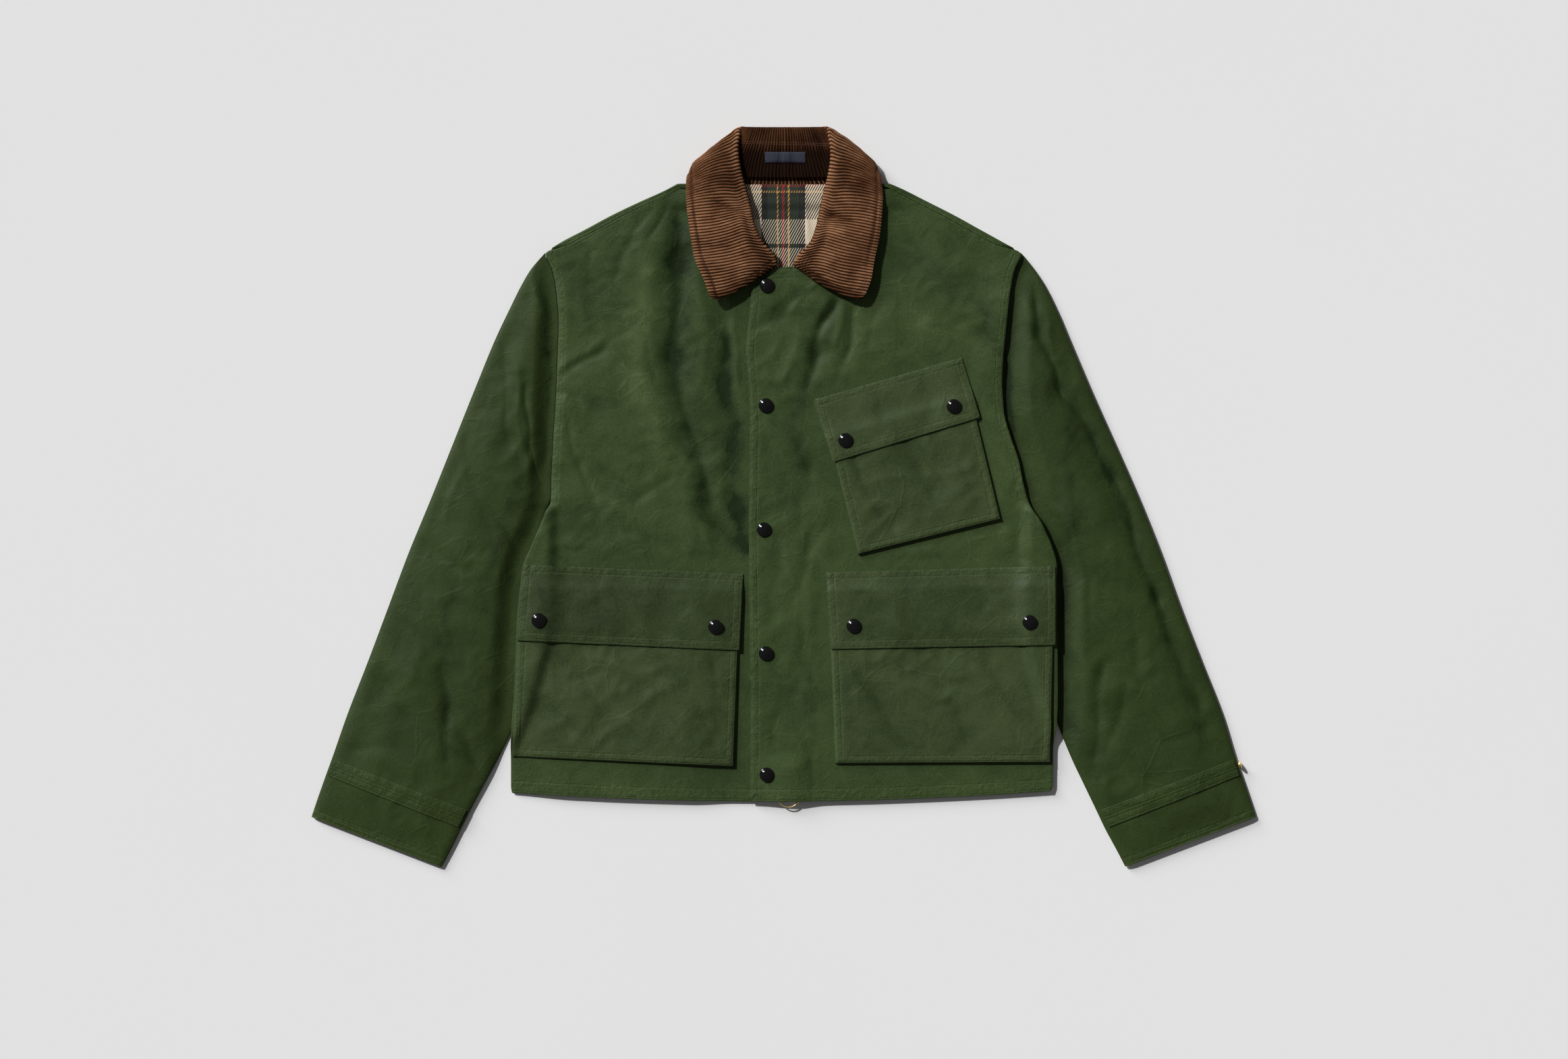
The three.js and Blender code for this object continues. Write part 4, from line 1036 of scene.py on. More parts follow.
def flap_place(corners, base, bag, seed, darker):
    width, height = sizes_of(corners)
    feel = surface_of(base, bag)
    columns, rows = steps(0.0, width, 2.8), steps(0.0, height, 2.8)
    cols, lines = np.meshgrid(columns, rows)
    x, y = corner(corners, cols / width, lines / height)
    low = felt(feel, x.ravel(), y.ravel(), 2.5, empty=6.0).reshape(x.shape)
    level = low.copy()
    for _ in range(14):
        padded = np.pad(level, 1, mode="edge")
        mean = 0.25 * (padded[:-2, 1:-1] + padded[2:, 1:-1] + padded[1:-1, :-2] + padded[1:-1, 2:])
        level = np.maximum(mean, low)

    def place(column, row):
        i = np.searchsorted(columns, column - 1e-6)
        j = np.searchsorted(rows, row - 1e-6)
        x, y = corner(corners, column / width, row / height)
        edges = least(column, width - column, row)
        distance = np.minimum(edges, height - row)
        inside = ease(distance / 18)
        loose = (1.3 * creases(FOLDS_FLAPS, x, y) + 0.6 * crumple(x, y, seed)) * inside
        droop = 0.5 * ease((20 - row) / 20)
        z = level[j, i] + 0.2 + 1.4 + np.maximum(loose, -0.15) + 0.3 * inside + droop * 0.4
        z = z + rim(distance, 0.5) + np.maximum(pressed(x, y), -0.5) * 0.6
        seams = (edges, NO_SEAM, height - row)
        # The tone paints shade in the troughs of the creases and light on their ridges; the hip flaps are
        # darker by `darker`.
        return x, y, z, (column, row), seams, creases(FOLDS_FLAPS, x, y) * 0.15 - darker

    return place, columns, rows


flaps = {}
for seed, (name, corners) in enumerate(FLAPS.items()):
    base = front_right if name.endswith("right") else front_left
    bag = bags[name.replace("flap", "pocket")]
    darker = 0.0 if name == "flap_chest" else 0.2
    place, columns, rows = flap_place(corners, base, bag, 60 + seed, darker)
    flaps[name] = thicken(cloth(f"{name}_cloth", columns, rows, place), 1.3)

# %% [markdown]
# ## The corduroy collar
# The collar is the boldest shape of the jacket. Each station of the two tables is a cut through
# it: the neck seam n, the roll r where the leaf turns over, the middle m and the edge e of the
# leaf. `turn` is 0 where the leaf lies over the front and 180 where it hangs under the back.
# Two smooth lines, one along the stations and one across each cut, give the whole surface.

# %% Collar
# The columns are turn, nx ny nz, rx ry rz, mx my mz, ex ey ez and the radius of the roll.
COLLAR_RIGHT = """
0 -15.5 240.5 6.6 -7 241 9.4 -44 216 14.5 -74.5 202.8 17.5 1.8
0 -30 248.5 6.2 -8 250 9.6 -48 234.5 15 -81.6 223.5 17 2.2
0 -46 260 5.9 -21 264 10 -57 253 15.5 -91.5 247 16 2.6
0 -61 279 5.8 -29.3 281 10.5 -64 275 15.8 -96 272 15 2.8
0 -71.5 297 6.2 -33.5 300 11 -68 296 16 -98.8 292 13.8 3
0 -77.5 311 7.2 -37.5 316 11.4 -71 313 16 -100.2 308 12.8 3
0 -81 321 8.4 -42.5 334 11.8 -75 329 15.8 -100.5 320 12 3
15 -82.5 327 9 -46.3 355 11.2 -80 344 14.2 -100 330 11 3
50 -82 330 8.6 -48.6 373 9.4 -82.5 357 11 -98.6 336.5 8.6 2.8
90 -80 331.4 7.8 -49.6 381.6 7 -79.5 362.6 7 -96 338.6 5.8 2.4
130 -76 332 6.8 -47.5 383.2 5.1 -75.5 359 3.6 -93 334 3 2.4
180 -68 332.2 5.9 -42 383.5 4.0 -65 350 1.6 -86 325 1.3 2.6
180 -50 332 5.6 -32 383.6 4.0 -46 346 1.35 -60 317.5 1.3 2.6
180 -25 331.6 5.4 -16 383.6 4.0 -22 345 1.35 -30 315 1.3 2.6
"""
COLLAR_MIDDLE = "180 0 331.5 5.4 0 383.6 4.0 0 345 1.35 0 314.5 1.3 2.6"
COLLAR_LEFT = """
0 16 241.5 8 9 241.4 10.6 46 216.5 15 81.5 203.4 17.5 1.8
0 31 249 7.6 14 250.4 10.6 52 234.5 15.4 89.4 223 17 2.2
0 47 260 7.2 27 264 10.8 60.5 255 15.7 93.8 247 16 2.6
0 62 279 6.8 33.6 281 10.9 67 277 16 99 272 15 2.8
0 72.5 297 6.8 37.5 300 11.2 71 297 16 101 292 13.8 3
0 78.5 311 7.4 41 316 11.5 74 314 16 102 308 12.8 3
0 82 321 8.4 45.5 334 11.8 77 330 15.8 101.5 320 12 3
15 83.5 327 9 48.5 355 11.2 81 344 14.2 100.6 330 11 3
50 83 330 8.6 49.4 373 9.4 83.2 358.5 11 99 336.5 8.6 2.8
90 81 331.4 7.8 50 381.6 7 82 364.4 7 96.6 338.6 5.8 2.4
130 77 332 6.8 48 383.2 5.1 76.5 360 3.6 93.5 334 3 2.4
180 69 332.2 5.9 42.5 383.5 4.0 65.5 350 1.6 86.5 325 1.3 2.6
180 50 332 5.6 32 383.6 4.0 46 346 1.35 60 317.5 1.3 2.6
180 25 331.6 5.4 16 383.6 4.0 22 345 1.35 30 315 1.3 2.6
"""


def collar_cut(row, side):
    """The eleven points of one cut, from the neck seam over the roll to the edge of the leaf."""
    neck, roll_at, middle, edge = row[1:4], row[4:7], row[7:10], row[10:13]
    back = roll_at[:2] - middle[:2]
    back = back / np.linalg.norm(back)
    out = np.array([-back[1], back[0]]) if side < 0 else np.array([back[1], -back[0]])
    turn, radius = row[0] * pi / 180, row[13]
    arc = np.array([*(out * np.sin(turn)), np.cos(turn)]) * radius
    roll = np.array([*(roll_at[:2] - back * 1.2), roll_at[2]])

    def set_back(distance, up):
        return roll - np.array([*back, 0]) * distance * radius + arc * up

    stand, leaf = set_back(1, -1), set_back(1, 1)

    def on_leaf(t):
        return leaf * (2 * t - 1) * (t - 1) + middle * 4 * t * (1 - t) + edge * t * (2 * t - 1)

    return [neck, (neck + stand) / 2, stand, set_back(0.293, -0.707), roll, set_back(0.293, 0.707),
            leaf, on_leaf(0.25), on_leaf(0.5), on_leaf(0.78), edge]


def smooth_line(points, places):
    """A smooth line (centripetal Catmull-Rom) through points, read at places from 0 to n - 1."""
    p = np.concatenate([2 * points[:1] - points[1:2], points, 2 * points[-1:] - points[-2:-1]])
    k = np.clip(places.astype(int), 0, len(points) - 2)
    p0, p1, p2, p3 = p[k], p[k + 1], p[k + 2], p[k + 3]

    def knot(a, b):
        return np.maximum(np.linalg.norm(b - a, axis=-1, keepdims=True), 1e-6) ** 0.5

    t1 = knot(p0, p1)
    t2 = t1 + knot(p1, p2)
    t3 = t2 + knot(p2, p3)
    s = t1 + (t2 - t1) * (places - k).reshape(-1, 1, 1)
    a1 = ((t1 - s) * p0 + s * p1) / t1
    a2 = ((t2 - s) * p1 + (s - t1) * p2) / (t2 - t1)
    a3 = ((t3 - s) * p2 + (s - t2) * p3) / (t3 - t2)
    b1 = ((t2 - s) * a1 + s * a2) / t2
    b2 = ((t3 - s) * a2 + (s - t1) * a3) / (t3 - t1)
    return ((t2 - s) * b1 + (s - t1) * b2) / (t2 - t1)


def numbers(rows):
    return [np.array([float(n) for n in row.split()]) for row in rows.strip().splitlines()]


cuts = [collar_cut(row, -1) for row in numbers(COLLAR_RIGHT)]
cuts += [collar_cut(row, 1) for row in [*numbers(COLLAR_MIDDLE), *reversed(numbers(COLLAR_LEFT))]]
cuts = np.array(cuts)
print("collar has", cuts.shape[0], "cuts of", cuts.shape[1], "points")

# %% [markdown]
# The wales of the corduroy follow the cuts where the collar stands up, and run level where the
# leaf points forward. So each point gets a distance in mm, counted across the ribs. It is kept in
# the UV map, and both the shape and the material make one rib for every three millimetres of it.

# %% Collar surface
# COLLAR_ROW is how far the sewn row lies inside the edge; LEAF_START is the column that ends the roll.
WALE = 3.0
COLLAR_ROW = 6.4
stand_places, roll_places = np.linspace(0, 2, 9), np.linspace(2, 6, 17)
LEAF_START = len(stand_places) + len(roll_places) - 2
across_places = np.concatenate([stand_places[:-1], roll_places[:-1], np.linspace(6, 10, 27)])
trial_places = np.linspace(0, len(cuts) - 1, 600)
trial = smooth_line(cuts, trial_places)
trial_length = np.cumsum(np.linalg.norm(np.diff(trial, axis=0), axis=2).mean(axis=1))
even = np.linspace(0, trial_length[-1], int(trial_length[-1] / 0.62))
station_places = np.interp(even, [0, *trial_length], trial_places)
surface = smooth_line(cuts, station_places)
surface = smooth_line(surface.transpose(1, 0, 2), across_places).transpose(1, 0, 2)
# Half the width at the two back corners: as the cuts make it, and as the real collar has it.
CORNERS = table("y made seen", """
332 101 101
336 100.1 98.6
344 96.9 96.2
348 95.1 93.1
352 93.1 88.8
356 89.9 83.6
360 87.1 79.8
364 83.2 74.5
368 78.7 69.3
372 74.8 64.8
376 69.6 59.1
380 62.2 53.9
384 55.2 44.5
388 50 38
""")
made, seen = (curve(CORNERS, "y", kind, surface[..., 1]) for kind in ("made", "seen"))
outer = np.clip(np.abs(surface[..., 0]) / made * 2 - 1, 0, 1)
surface[..., 0] -= np.sign(surface[..., 0]) * (made - seen) * outer


def running(points, axis):
    """Distance along the cloth, in mm, from the first row or column."""
    lengths = np.linalg.norm(np.diff(points, axis=axis), axis=2)
    start = np.zeros_like(lengths[:1] if axis == 0 else lengths[:, :1])
    return np.concatenate([start, np.cumsum(lengths, axis=axis)], axis=axis)


width_across = running(surface, 1)
length_along = running(surface, 0)
to_edge = width_across[:, -1:] - width_across
to_front = np.minimum(length_along, length_along[-1:] - length_along)
along_way = np.gradient(surface, axis=0)
across_way = np.gradient(surface, axis=1)
along_way /= np.linalg.norm(along_way, axis=2, keepdims=True)
across_way /= np.linalg.norm(across_way, axis=2, keepdims=True)
upright = np.cross(along_way, across_way)
upright /= np.linalg.norm(upright, axis=2, keepdims=True)
print("collar is", round(length_along[-1].mean()), "mm round and", round(width_across.max()), "mm wide")

# %% Ribs and creases of the collar
first_cut = int(np.argmin(np.abs(station_places - 3)))
last_cut = int(np.argmin(np.abs(station_places - (len(cuts) - 4))))
ribs = np.repeat(length_along.mean(axis=1)[:, None], surface.shape[1], axis=1)
ribs[:first_cut] = ribs[first_cut] + surface[:first_cut, :, 1] - surface[first_cut, :, 1]
ribs[last_cut + 1:] = ribs[last_cut] - surface[last_cut + 1:, :, 1] + surface[last_cut, :, 1]
sx, sy, sz = surface[..., 0], surface[..., 1], surface[..., 2]
leaf = ease((np.arange(surface.shape[1])[None, :] - LEAF_START) / 5) * (sz > 9)
for inner_x, pleat_y, way in ((-34, 297, 1), (35, 284, -1)):
    close = bell((sx - inner_x) / 20) * (np.sign(sx) == np.sign(inner_x)) * leaf
    ribs += way * 5.0 * np.tanh((sy - pleat_y) / 8) * close
ribs += leaf * 1.3 * soft_noise(sx, sy, 38, 5) + (1 - leaf) * 1.6 * soft_noise(sx, 0.35 * sy, 19, 6)
wale = (0.5 - 0.5 * np.cos(2 * pi * ribs / WALE)) ** 0.8
COLLAR_CREASES = table("x0 y0 x1 y1 width depth", """
-66 304 -38 293 5.5 -2.6
-62 312 -44 309 5 0.8
-58 284 -36 280 6 0.9
48 294 66 288 6.5 -2.6
36 284 50 290 3.5 -1.2
36 275 60 272 6 1.0
58 262 84 258 8 -0.7
-82 262 -56 254 8 -0.7
-86 330 -62 326 8 -0.6
-84 226 -64 236 7 -0.7
70 226 88 240 7 -0.6
84 316 64 322 8 -0.6
-94 300 -91 260 5 0.5
""")


def collar_place(column, row):
    i, j = row.astype(int), column.astype(int)
    edge, front = to_edge[i, j], to_front[i, j]
    flat = ease(front / 6)
    rise = (wale[i, j] - 0.5) * 0.75 * (0.25 + 0.75 * flat)
    rise = rise - 0.9 * bell((edge - COLLAR_ROW) / 1.1) - 0.6 * bell((front - COLLAR_ROW) / 1.3)
    rise = rise - 0.8 * (1 - np.clip(np.minimum(edge, front) / 2.2, 0, 1)) ** 2
    rope = np.sin(2 * pi * (width_across[i, j] + front) / 4.2)
    rise = rise + 0.35 * rope * (1 - ease((front - 4) / 3))
    side = np.where(i < len(surface) / 2, 1.0, -1.0)
    p = surface[i, j] + upright[i, j] * rise[:, None]
    p = p + across_way[i, j] * (0.5 * (wale[i, j] - 0.5) * (1 - ease(edge / 1.5)))[:, None]
    a, b = np.clip(1 - front / 8, 0, 1), np.clip(1 - edge / 8, 0, 1)
    slide_front = 8 * (a - a * np.sqrt(1 - b * b / 2))
    slide_edge = 8 * (b - b * np.sqrt(1 - a * a / 2))
    p = p + along_way[i, j] * (side * slide_front)[:, None] - across_way[i, j] * slide_edge[:, None]
    x, y, z = p[:, 0].copy(), p[:, 1].copy(), p[:, 2].copy()
    z = z + creases(COLLAR_CREASES, x, y) * leaf[i, j]
    standing = ease((18 - j) / 6) * (np.abs(x) < 62) * (y > 318)
    fold = soft_noise(x, 0.3 * y, 24, 8) + 0.6 * np.sin(x * 0.3 + 1.5 * np.sin(x * 0.13))
    z = z + 0.6 * fold * standing * ease((y - 328) / 10)
    # Painted shade: the stand is darker, most towards the neck seam.
    tone = -ease((20 - j) / 5) * (np.abs(x) < 70) * lerp(0.6, 0.95, ease((366 - y) / 12))
    from_roll = width_across[i, j] - width_across[i, LEAF_START]
    # On the leaf: painted shade in crease troughs and painted light on their ridges, and painted shade at its
    # front ends, beside the lower roll, along the sewn row and on its upper part.
    on_leaf = 0.10 * creases(COLLAR_CREASES, x, y) - 0.32 * (1 - ease((front - 5) / 4))
    on_leaf = on_leaf - 0.35 * ease((17 - from_roll) / 17) * ease((282 - y) / 26)
    on_leaf = on_leaf - 0.5 * bell(edge - COLLAR_ROW) - 0.22 * ease((y - 300) / 30)
    tone = tone + on_leaf * leaf[i, j]
    seams = (np.minimum(edge, front), NO_SEAM, width_across[i, j])
    return x, y, z, (ribs[i, j], width_across[i, j]), seams, tone


collar = cloth(
    "collar_corduroy",
    np.arange(surface.shape[1], dtype=float),
    np.arange(surface.shape[0], dtype=float),
    collar_place,
)
thicken(collar, 2.3, offset=0.0)
for vertex in collar.data.vertices:
    vertex.co.z = max(vertex.co.z, 0.0002)

# %% [markdown]
# ## The woven label
# A small dark label is tacked at its four corners to the inside of the collar. It is left plain.

# %% Neck label
def label_place():
    feel = surface_of(collar)

    def place(column, row):
        x, y = lerp(-19.5, 22.5, column), lerp(346.5, 357.5, row)
        bulge = 0.7 * np.sin(pi * column) * np.sin(pi * row) ** 0.5
        z = felt(feel, x, y, 1.5) + 0.15 + 0.7 + np.nan_to_num(bulge)
        distance = least(column * 42, 42 - column * 42, row * 11, 11 - row * 11)
        seams = (distance, NO_SEAM, NO_SEAM)
        return x, y, z + rim(distance, 0.3), (column * 42, row * 11), seams, 0 * x

    return place


neck_label = cloth("neck_label_cloth", np.linspace(0, 1, 43), np.linspace(0, 1, 13), label_place())
thicken(neck_label, 0.6)

# %% [markdown]
# ## The snaps
# All eleven snaps are the same glossy black cap: a low dome inside a rolled ring. Its profile is
# a line of points that is spun once round an upright axis. One is modelled, and copies of it are
# set down on the cloth beneath them.

# %% A turned shape and the snaps
def spin_shut(count, centre=(0, 0, 0)):
    """Spins the line that is being edited once round an upright axis into a closed shape."""
    bpy.ops.mesh.select_all(action="SELECT")
    bpy.ops.mesh.spin(steps=count, angle=2 * pi, center=centre, axis=(0, 0, 1))
    bpy.ops.mesh.select_all(action="SELECT")
    bpy.ops.mesh.remove_doubles(threshold=0.000002)
    bpy.ops.mesh.normals_make_consistent(inside=False)
    bpy.ops.object.mode_set(mode="OBJECT")


def turned(name, profile, around):
    """Spins a profile of (radius, height) in mm round the Z axis into a closed shape."""
    bpy.ops.object.select_all(action="DESELECT")
    bpy.ops.mesh.primitive_plane_add(size=1)
    piece = bpy.context.object
    piece.name = piece.data.name = name
    bpy.ops.object.mode_set(mode="EDIT")
    bpy.ops.mesh.select_all(action="SELECT")
    bpy.ops.mesh.merge(type="CENTER")
    bpy.ops.transform.translate(value=(profile[0][0] * MM, 0, profile[0][1] * MM))
    for (r0, h0), (r1, h1) in zip(profile[:-1], profile[1:]):
        move = ((r1 - r0) * MM, 0, (h1 - h0) * MM)
        bpy.ops.mesh.extrude_region_move(TRANSFORM_OT_translate={"value": move})
    spin_shut(around)
    bpy.ops.object.shade_smooth_by_angle(angle=0.7)
    return piece


def moved(piece, offset, turn=None):
    """Moves the points of a piece, so that its object stays at the origin."""
    for vertex in piece.data.vertices:
        point = vertex.co if turn is None else turn @ vertex.co
        vertex.co = point + Vector(offset) * MM
    piece.data.update()
    return piece


def copied(piece, name):
    twin = piece.copy()
    twin.data = piece.data.copy()
    twin.name = twin.data.name = name
    bpy.context.collection.objects.link(twin)
    return twin


SNAP_PROFILE = (
    (0, 0), (6.7, 0), (7.2, 0.25), (7.5, 0.75), (7.5, 1.2), (7.3, 1.65), (6.9, 2.0), (6.4, 2.2), (6.1, 2.22),
    (5.85, 2.28), (5.5, 2.5), (4.8, 2.9), (3.8, 3.32), (2.6, 3.62), (1.3, 3.77), (0, 3.8),
)
everything_below = surface_of(front_right, front_left, *flaps.values())
first_snap = turned("snap_cap", SNAP_PROFILE, 40)
snaps = {}
for name, (x, y) in SNAPS.items():
    ring_x = x + 5.5 * np.cos(np.arange(8) * pi / 4)
    ring_y = y + 5.5 * np.sin(np.arange(8) * pi / 4)
    seat = felt(everything_below, ring_x, ring_y).max() + 0.05
    snaps[name] = moved(copied(first_snap, f"{name}_cap"), (x, y, seat))
bpy.data.objects.remove(first_snap)
print(len(snaps), "snaps set down on the cloth")

# %% [markdown]
# ## Brass: the cuff stud and the zip ring
# The stud is turned like the snaps and then laid over to face outwards from the cuff. The ring is
# a round wire bent to a circle, so a small circle is spun round the ring's centre; where the two
# ends of the wire meet the real ring has a fine joint, made here by pinching the wire.

# %% Stud and ring
STUD_PROFILE = (
    (0, 0), (2.6, 0), (2.6, 0.6), (4.0, 0.8), (4.5, 1.15), (4.6, 1.6), (4.3, 2.0), (3.7, 2.2), (3.3, 2.1),
    (2.6, 2.5), (1.4, 2.85), (0, 3.0),
)
outwards = Vector((0.93, 0.37, 0)).normalized()
stud = turned("cuff_stud_cap", STUD_PROFILE, 32)
moved(stud, (471.3, -277.4, 4.9), Vector((0, 0, 1)).rotation_difference(outwards).to_matrix())

ring_low, ring_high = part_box("zip_ring")
ring_centre = (ring_low + ring_high) / 2
wire = 0.65 * MM
radius = (ring_high.x - ring_low.x) / 2 - wire
bpy.ops.object.select_all(action="DESELECT")
wire_start = ring_centre + Vector((0, radius, 0))
bpy.ops.mesh.primitive_circle_add(vertices=12, radius=wire, location=wire_start, rotation=(0, pi / 2, 0))
ring = bpy.context.object
ring.name = ring.data.name = "zip_ring_wire"
bpy.ops.object.transform_apply(location=True, rotation=True, scale=True)
bpy.ops.object.mode_set(mode="EDIT")
spin_shut(72, tuple(ring_centre))
for vertex in ring.data.vertices:
    spoke = Vector((vertex.co.x - ring_centre.x, vertex.co.y - ring_centre.y, 0))
    if spoke.x > 0 and abs(spoke.y + 0.0004) < 0.0003:
        on_wire = ring_centre + spoke.normalized() * radius
        vertex.co = on_wire + (vertex.co - on_wire) * 0.82
bpy.ops.object.shade_smooth_by_angle(angle=0.9)
print("ring is", round((ring_high.x - ring_low.x) / MM, 1), "mm wide")

# %% [markdown]
# ## Sewing
# A stitch is a tiny eight-sided lozenge of thread that sinks into the cloth at both ends. One is
# modelled from a sphere of very few faces, and its points are then repeated along each sewn line
# at the height that is felt there. Between two stitches the needle left a hole, and its shade is
# painted: the same lozenge, shorter, flatter and dark. All the stitches of a piece are one mesh with
# two finishes.

# %% One stitch, and a line of them
bpy.ops.object.select_all(action="DESELECT")
bpy.ops.mesh.primitive_uv_sphere_add(segments=4, ring_count=2, radius=0.5)
one_stitch = bpy.context.object
bpy.ops.object.mode_set(mode="EDIT")
bpy.ops.mesh.select_all(action="SELECT")
bpy.ops.transform.resize(value=(2.0, 0.55, 0.5))
bpy.ops.object.mode_set(mode="OBJECT")
stitch_points = np.array([v.co[:] for v in one_stitch.data.vertices])
stitch_faces = [tuple(p.vertices) for p in one_stitch.data.polygons]
bpy.data.objects.remove(one_stitch)


def sew(name, lines, carriers, pitch=2.7, thick=1.0):
    """Sews along lines of (x, y) points in mm; each line is a smooth run of even stitches."""
    feel = surface_of(*carriers)
    points, faces, finishes = [], [], []
    for line in lines:
        line = np.array(line, dtype=float)
        run = np.concatenate([[0], np.cumsum(np.hypot(*np.diff(line, axis=0).T))])
        count = max(int(run[-1] / pitch), 1)
        at = (np.arange(count) + 0.5) * run[-1] / count
        x, y = np.interp(at, run, line[:, 0]), np.interp(at, run, line[:, 1])
        ax, ay = np.interp(at + 1.2, run, line[:, 0]), np.interp(at + 1.2, run, line[:, 1])
        bx, by = np.interp(at - 1.2, run, line[:, 0]), np.interp(at - 1.2, run, line[:, 1])
        z, za, zb = felt(feel, x, y), felt(feel, ax, ay), felt(feel, bx, by)
        for k in range(count):
            if min(z[k], za[k], zb[k]) < 0.5 or abs(za[k] - zb[k]) > 1.5:
                continue
            along = np.array([ax[k] - bx[k], ay[k] - by[k], za[k] - zb[k]])
            along = along / np.linalg.norm(along)
            aside = np.cross([0, 0, 1], along)
            aside = aside / np.linalg.norm(aside)
            up = np.cross(along, aside)
            middle = np.array([x[k], y[k], max(z[k], 0.5 * (za[k] + zb[k])) + 0.02])
            for forward, sizes in ((0.0, (1.0, thick, thick)), (0.5 * pitch, (0.4, 1.25, 0.35))):
                first = len(points)
                place = middle + forward * along
                for p in stitch_points * sizes:
                    points.append((place + p[0] * along + p[1] * aside + p[2] * up) * MM)
                faces += [tuple(first + i for i in face) for face in stitch_faces]
                finishes += [int(forward > 0)] * len(stitch_faces)
    mesh = bpy.data.meshes.new(name)
    mesh.from_pydata([tuple(p) for p in points], [], faces)
    mesh.polygons.foreach_set("material_index", finishes)
    mesh.update()
    piece = bpy.data.objects.new(name, mesh)
    bpy.context.collection.objects.link(piece)
    print(name, len(faces) // len(stitch_faces) // 2, "stitches")
    return piece


def inset_line(corners, sides, inset, ends=(0.0, 0.0)):
    """A line inside a four-cornered piece, along some of its sides in order."""
    width, height = sizes_of(corners)
    u, v = inset / width, inset / height
    places = {
        "left": [(u, 1 - ends[0] / height), (u, v)],
        "bottom": [(u, v), (1 - u, v)],
        "right": [(1 - u, v), (1 - u, 1 - ends[1] / height)],
        "top": [(u, 1 - v), (1 - u, 1 - v)],
    }
    line = []
    for side in sides:
        for a, b in places[side]:
            x, y = corner(corners, a, b)
            if not line or np.hypot(x - line[-1][0], y - line[-1][1]) > 0.1:
                line.append((float(x), float(y)))
    return line


# %% Sewn lines of every piece
def down_the_fly(inset):
    rows = np.linspace(-304, 216, 120)
    return [(float(between(FLY_EDGE, "y", "x", r)) + inset, r + float(hem_drop(-30.0, r))) for r in rows]


def along_the_hem(x0, x1, inset):
    return [(x, hem_line(x) + inset) for x in np.linspace(x0, x1, 90)]


def down_the_armhole(side, inset):
    sign = -1 if side == "right" else 1
    return [(float(body_edge(side, r)) - sign * inset, r) for r in np.linspace(246, -8, 80)]


def along_the_shoulder(side, inset):
    sign = -1 if side == "right" else 1
    return [(float(body_edge(side, r)) - sign * (SHOULDER_LAP - inset), r) for r in np.linspace(262, 316, 60)]


threads = {}
threads["front_right"] = sew(
    "front_right_stitches",
    [along_the_hem(-279, -37, 1.7), along_the_hem(-279, -37, 12.2), down_the_armhole("right", 7.0),
     down_the_armhole("right", 2.4),
     [(-271, -76.5), (-42, -87)]],
    [front_right],
)
fly_top = [(-10, 235.6), (12, 234.9)]
fly_low = [(-11, 229.7), (13, 229.0)]
threads["front_left"] = sew(
    "front_left_stitches",
    [down_the_fly(1.8), down_the_fly(8.6), along_the_hem(-33, 275, 1.7), along_the_hem(-33, 275, 12.2),
     down_the_armhole("left", 7.0), down_the_armhole("left", 2.4), fly_top, fly_low,
     [(-31.5, 217.5), (-22, 219.5), (-10, 235.6)],
     [(33, 97.5), (186, 138.8)]],
    [front_left],
)
threads["back"] = sew(
    "back_stitches",
    [along_the_shoulder("right", 1.5), along_the_shoulder("left", 1.5)],
    [back_panel],
)
for name, (corners, _) in POCKETS.items():
    sides = ["left", "bottom", "right"]
    lines = [inset_line(corners, sides, 1.8, (22, 22))]
    if name == "pocket_hip_right":
        lines += [[(-272, -155), (-274.5, -247)], [(-274.5, -247), (-281, -247.5)]]
    if name == "pocket_hip_left":
        lines += [[(271, -155), (270.5, -250)], [(270.5, -250), (277, -250)]]
    threads[name] = sew(f"{name}_stitches", lines, [bags[name]])
for name, corners in FLAPS.items():
    sides = ["left", "bottom", "right"]
    lines = [inset_line(corners, sides, 1.9), inset_line(corners, sides, 8.0)]
    lines.append(inset_line(corners, ["top"], 7.5))
    threads[name] = sew(f"{name}_stitches", lines, [flaps[name]])
for side in ("right", "left"):
    s = 1 if side == "left" else -1
    cuff = [(s * 487, -324), (s * 450, -341), (s * 400, -360), (s * 352, -375.5)]
    cuff_edge = [(s * 488.3, -328.8), (s * 450, -345.5), (s * 400, -364.5), (s * 353.5, -380.3)]
    threads[f"sleeve_{side}"] = sew(f"sleeve_{side}_stitches", [cuff, cuff_edge], [sleeves[side]])
    upper = [(s * 464.8, -272.2), (s * 329, -323.9)]
    lower = [(s * 471.5, -286.5), (s * 336.8, -339.8)]
    threads[f"strap_{side}"] = sew(f"strap_{side}_stitches", [upper, lower], [straps[side]])


# %% [markdown]
# The collar is top-stitched in a brown thread inside its edge, and two rows cross its stand.

# %% Collar and label stitches
edge_line = []
for k in range(len(surface)):
    j = int(np.argmin(np.abs(to_edge[k] - COLLAR_ROW)))
    if surface[k, j, 2] > 8 and to_front[k, j] > 6:
        edge_line.append((float(surface[k, j, 0]), float(surface[k, j, 1])))
turn_at = int(np.argmax(np.hypot(*np.diff(np.array(edge_line), axis=0).T)))
stand_lines = [[(-44, 368.4), (46, 366.0)], [(-44, 366.4), (46, 364.2)]]
threads["collar"] = sew(
    "collar_stitches",
    [edge_line[: turn_at + 1], edge_line[turn_at + 1 :], *stand_lines],
    [collar],
    pitch=2.8,
)
threads["label"] = sew(
    "label_stitches",
    [[(-19.2, 345.8), (-19.2, 349.5)], [(-19.2, 354.5), (-19.2, 358.2)], [(22.2, 345.8), (22.2, 349.5)],
     [(22.2, 354.5), (22.2, 358.2)]],
    [neck_label, collar],
    pitch=1.1,
    thick=1.3,
)

# %% [markdown]
# ## Finishes
# A finish is a small network of nodes. Effects that several finishes share are groups that are
# built once: the mottling of wax, the fine weave, the crackle of creased wax and the groove and
# pucker of a sewn edge. Heights are in mm, and a Bump node with a distance of 1 mm reads them.

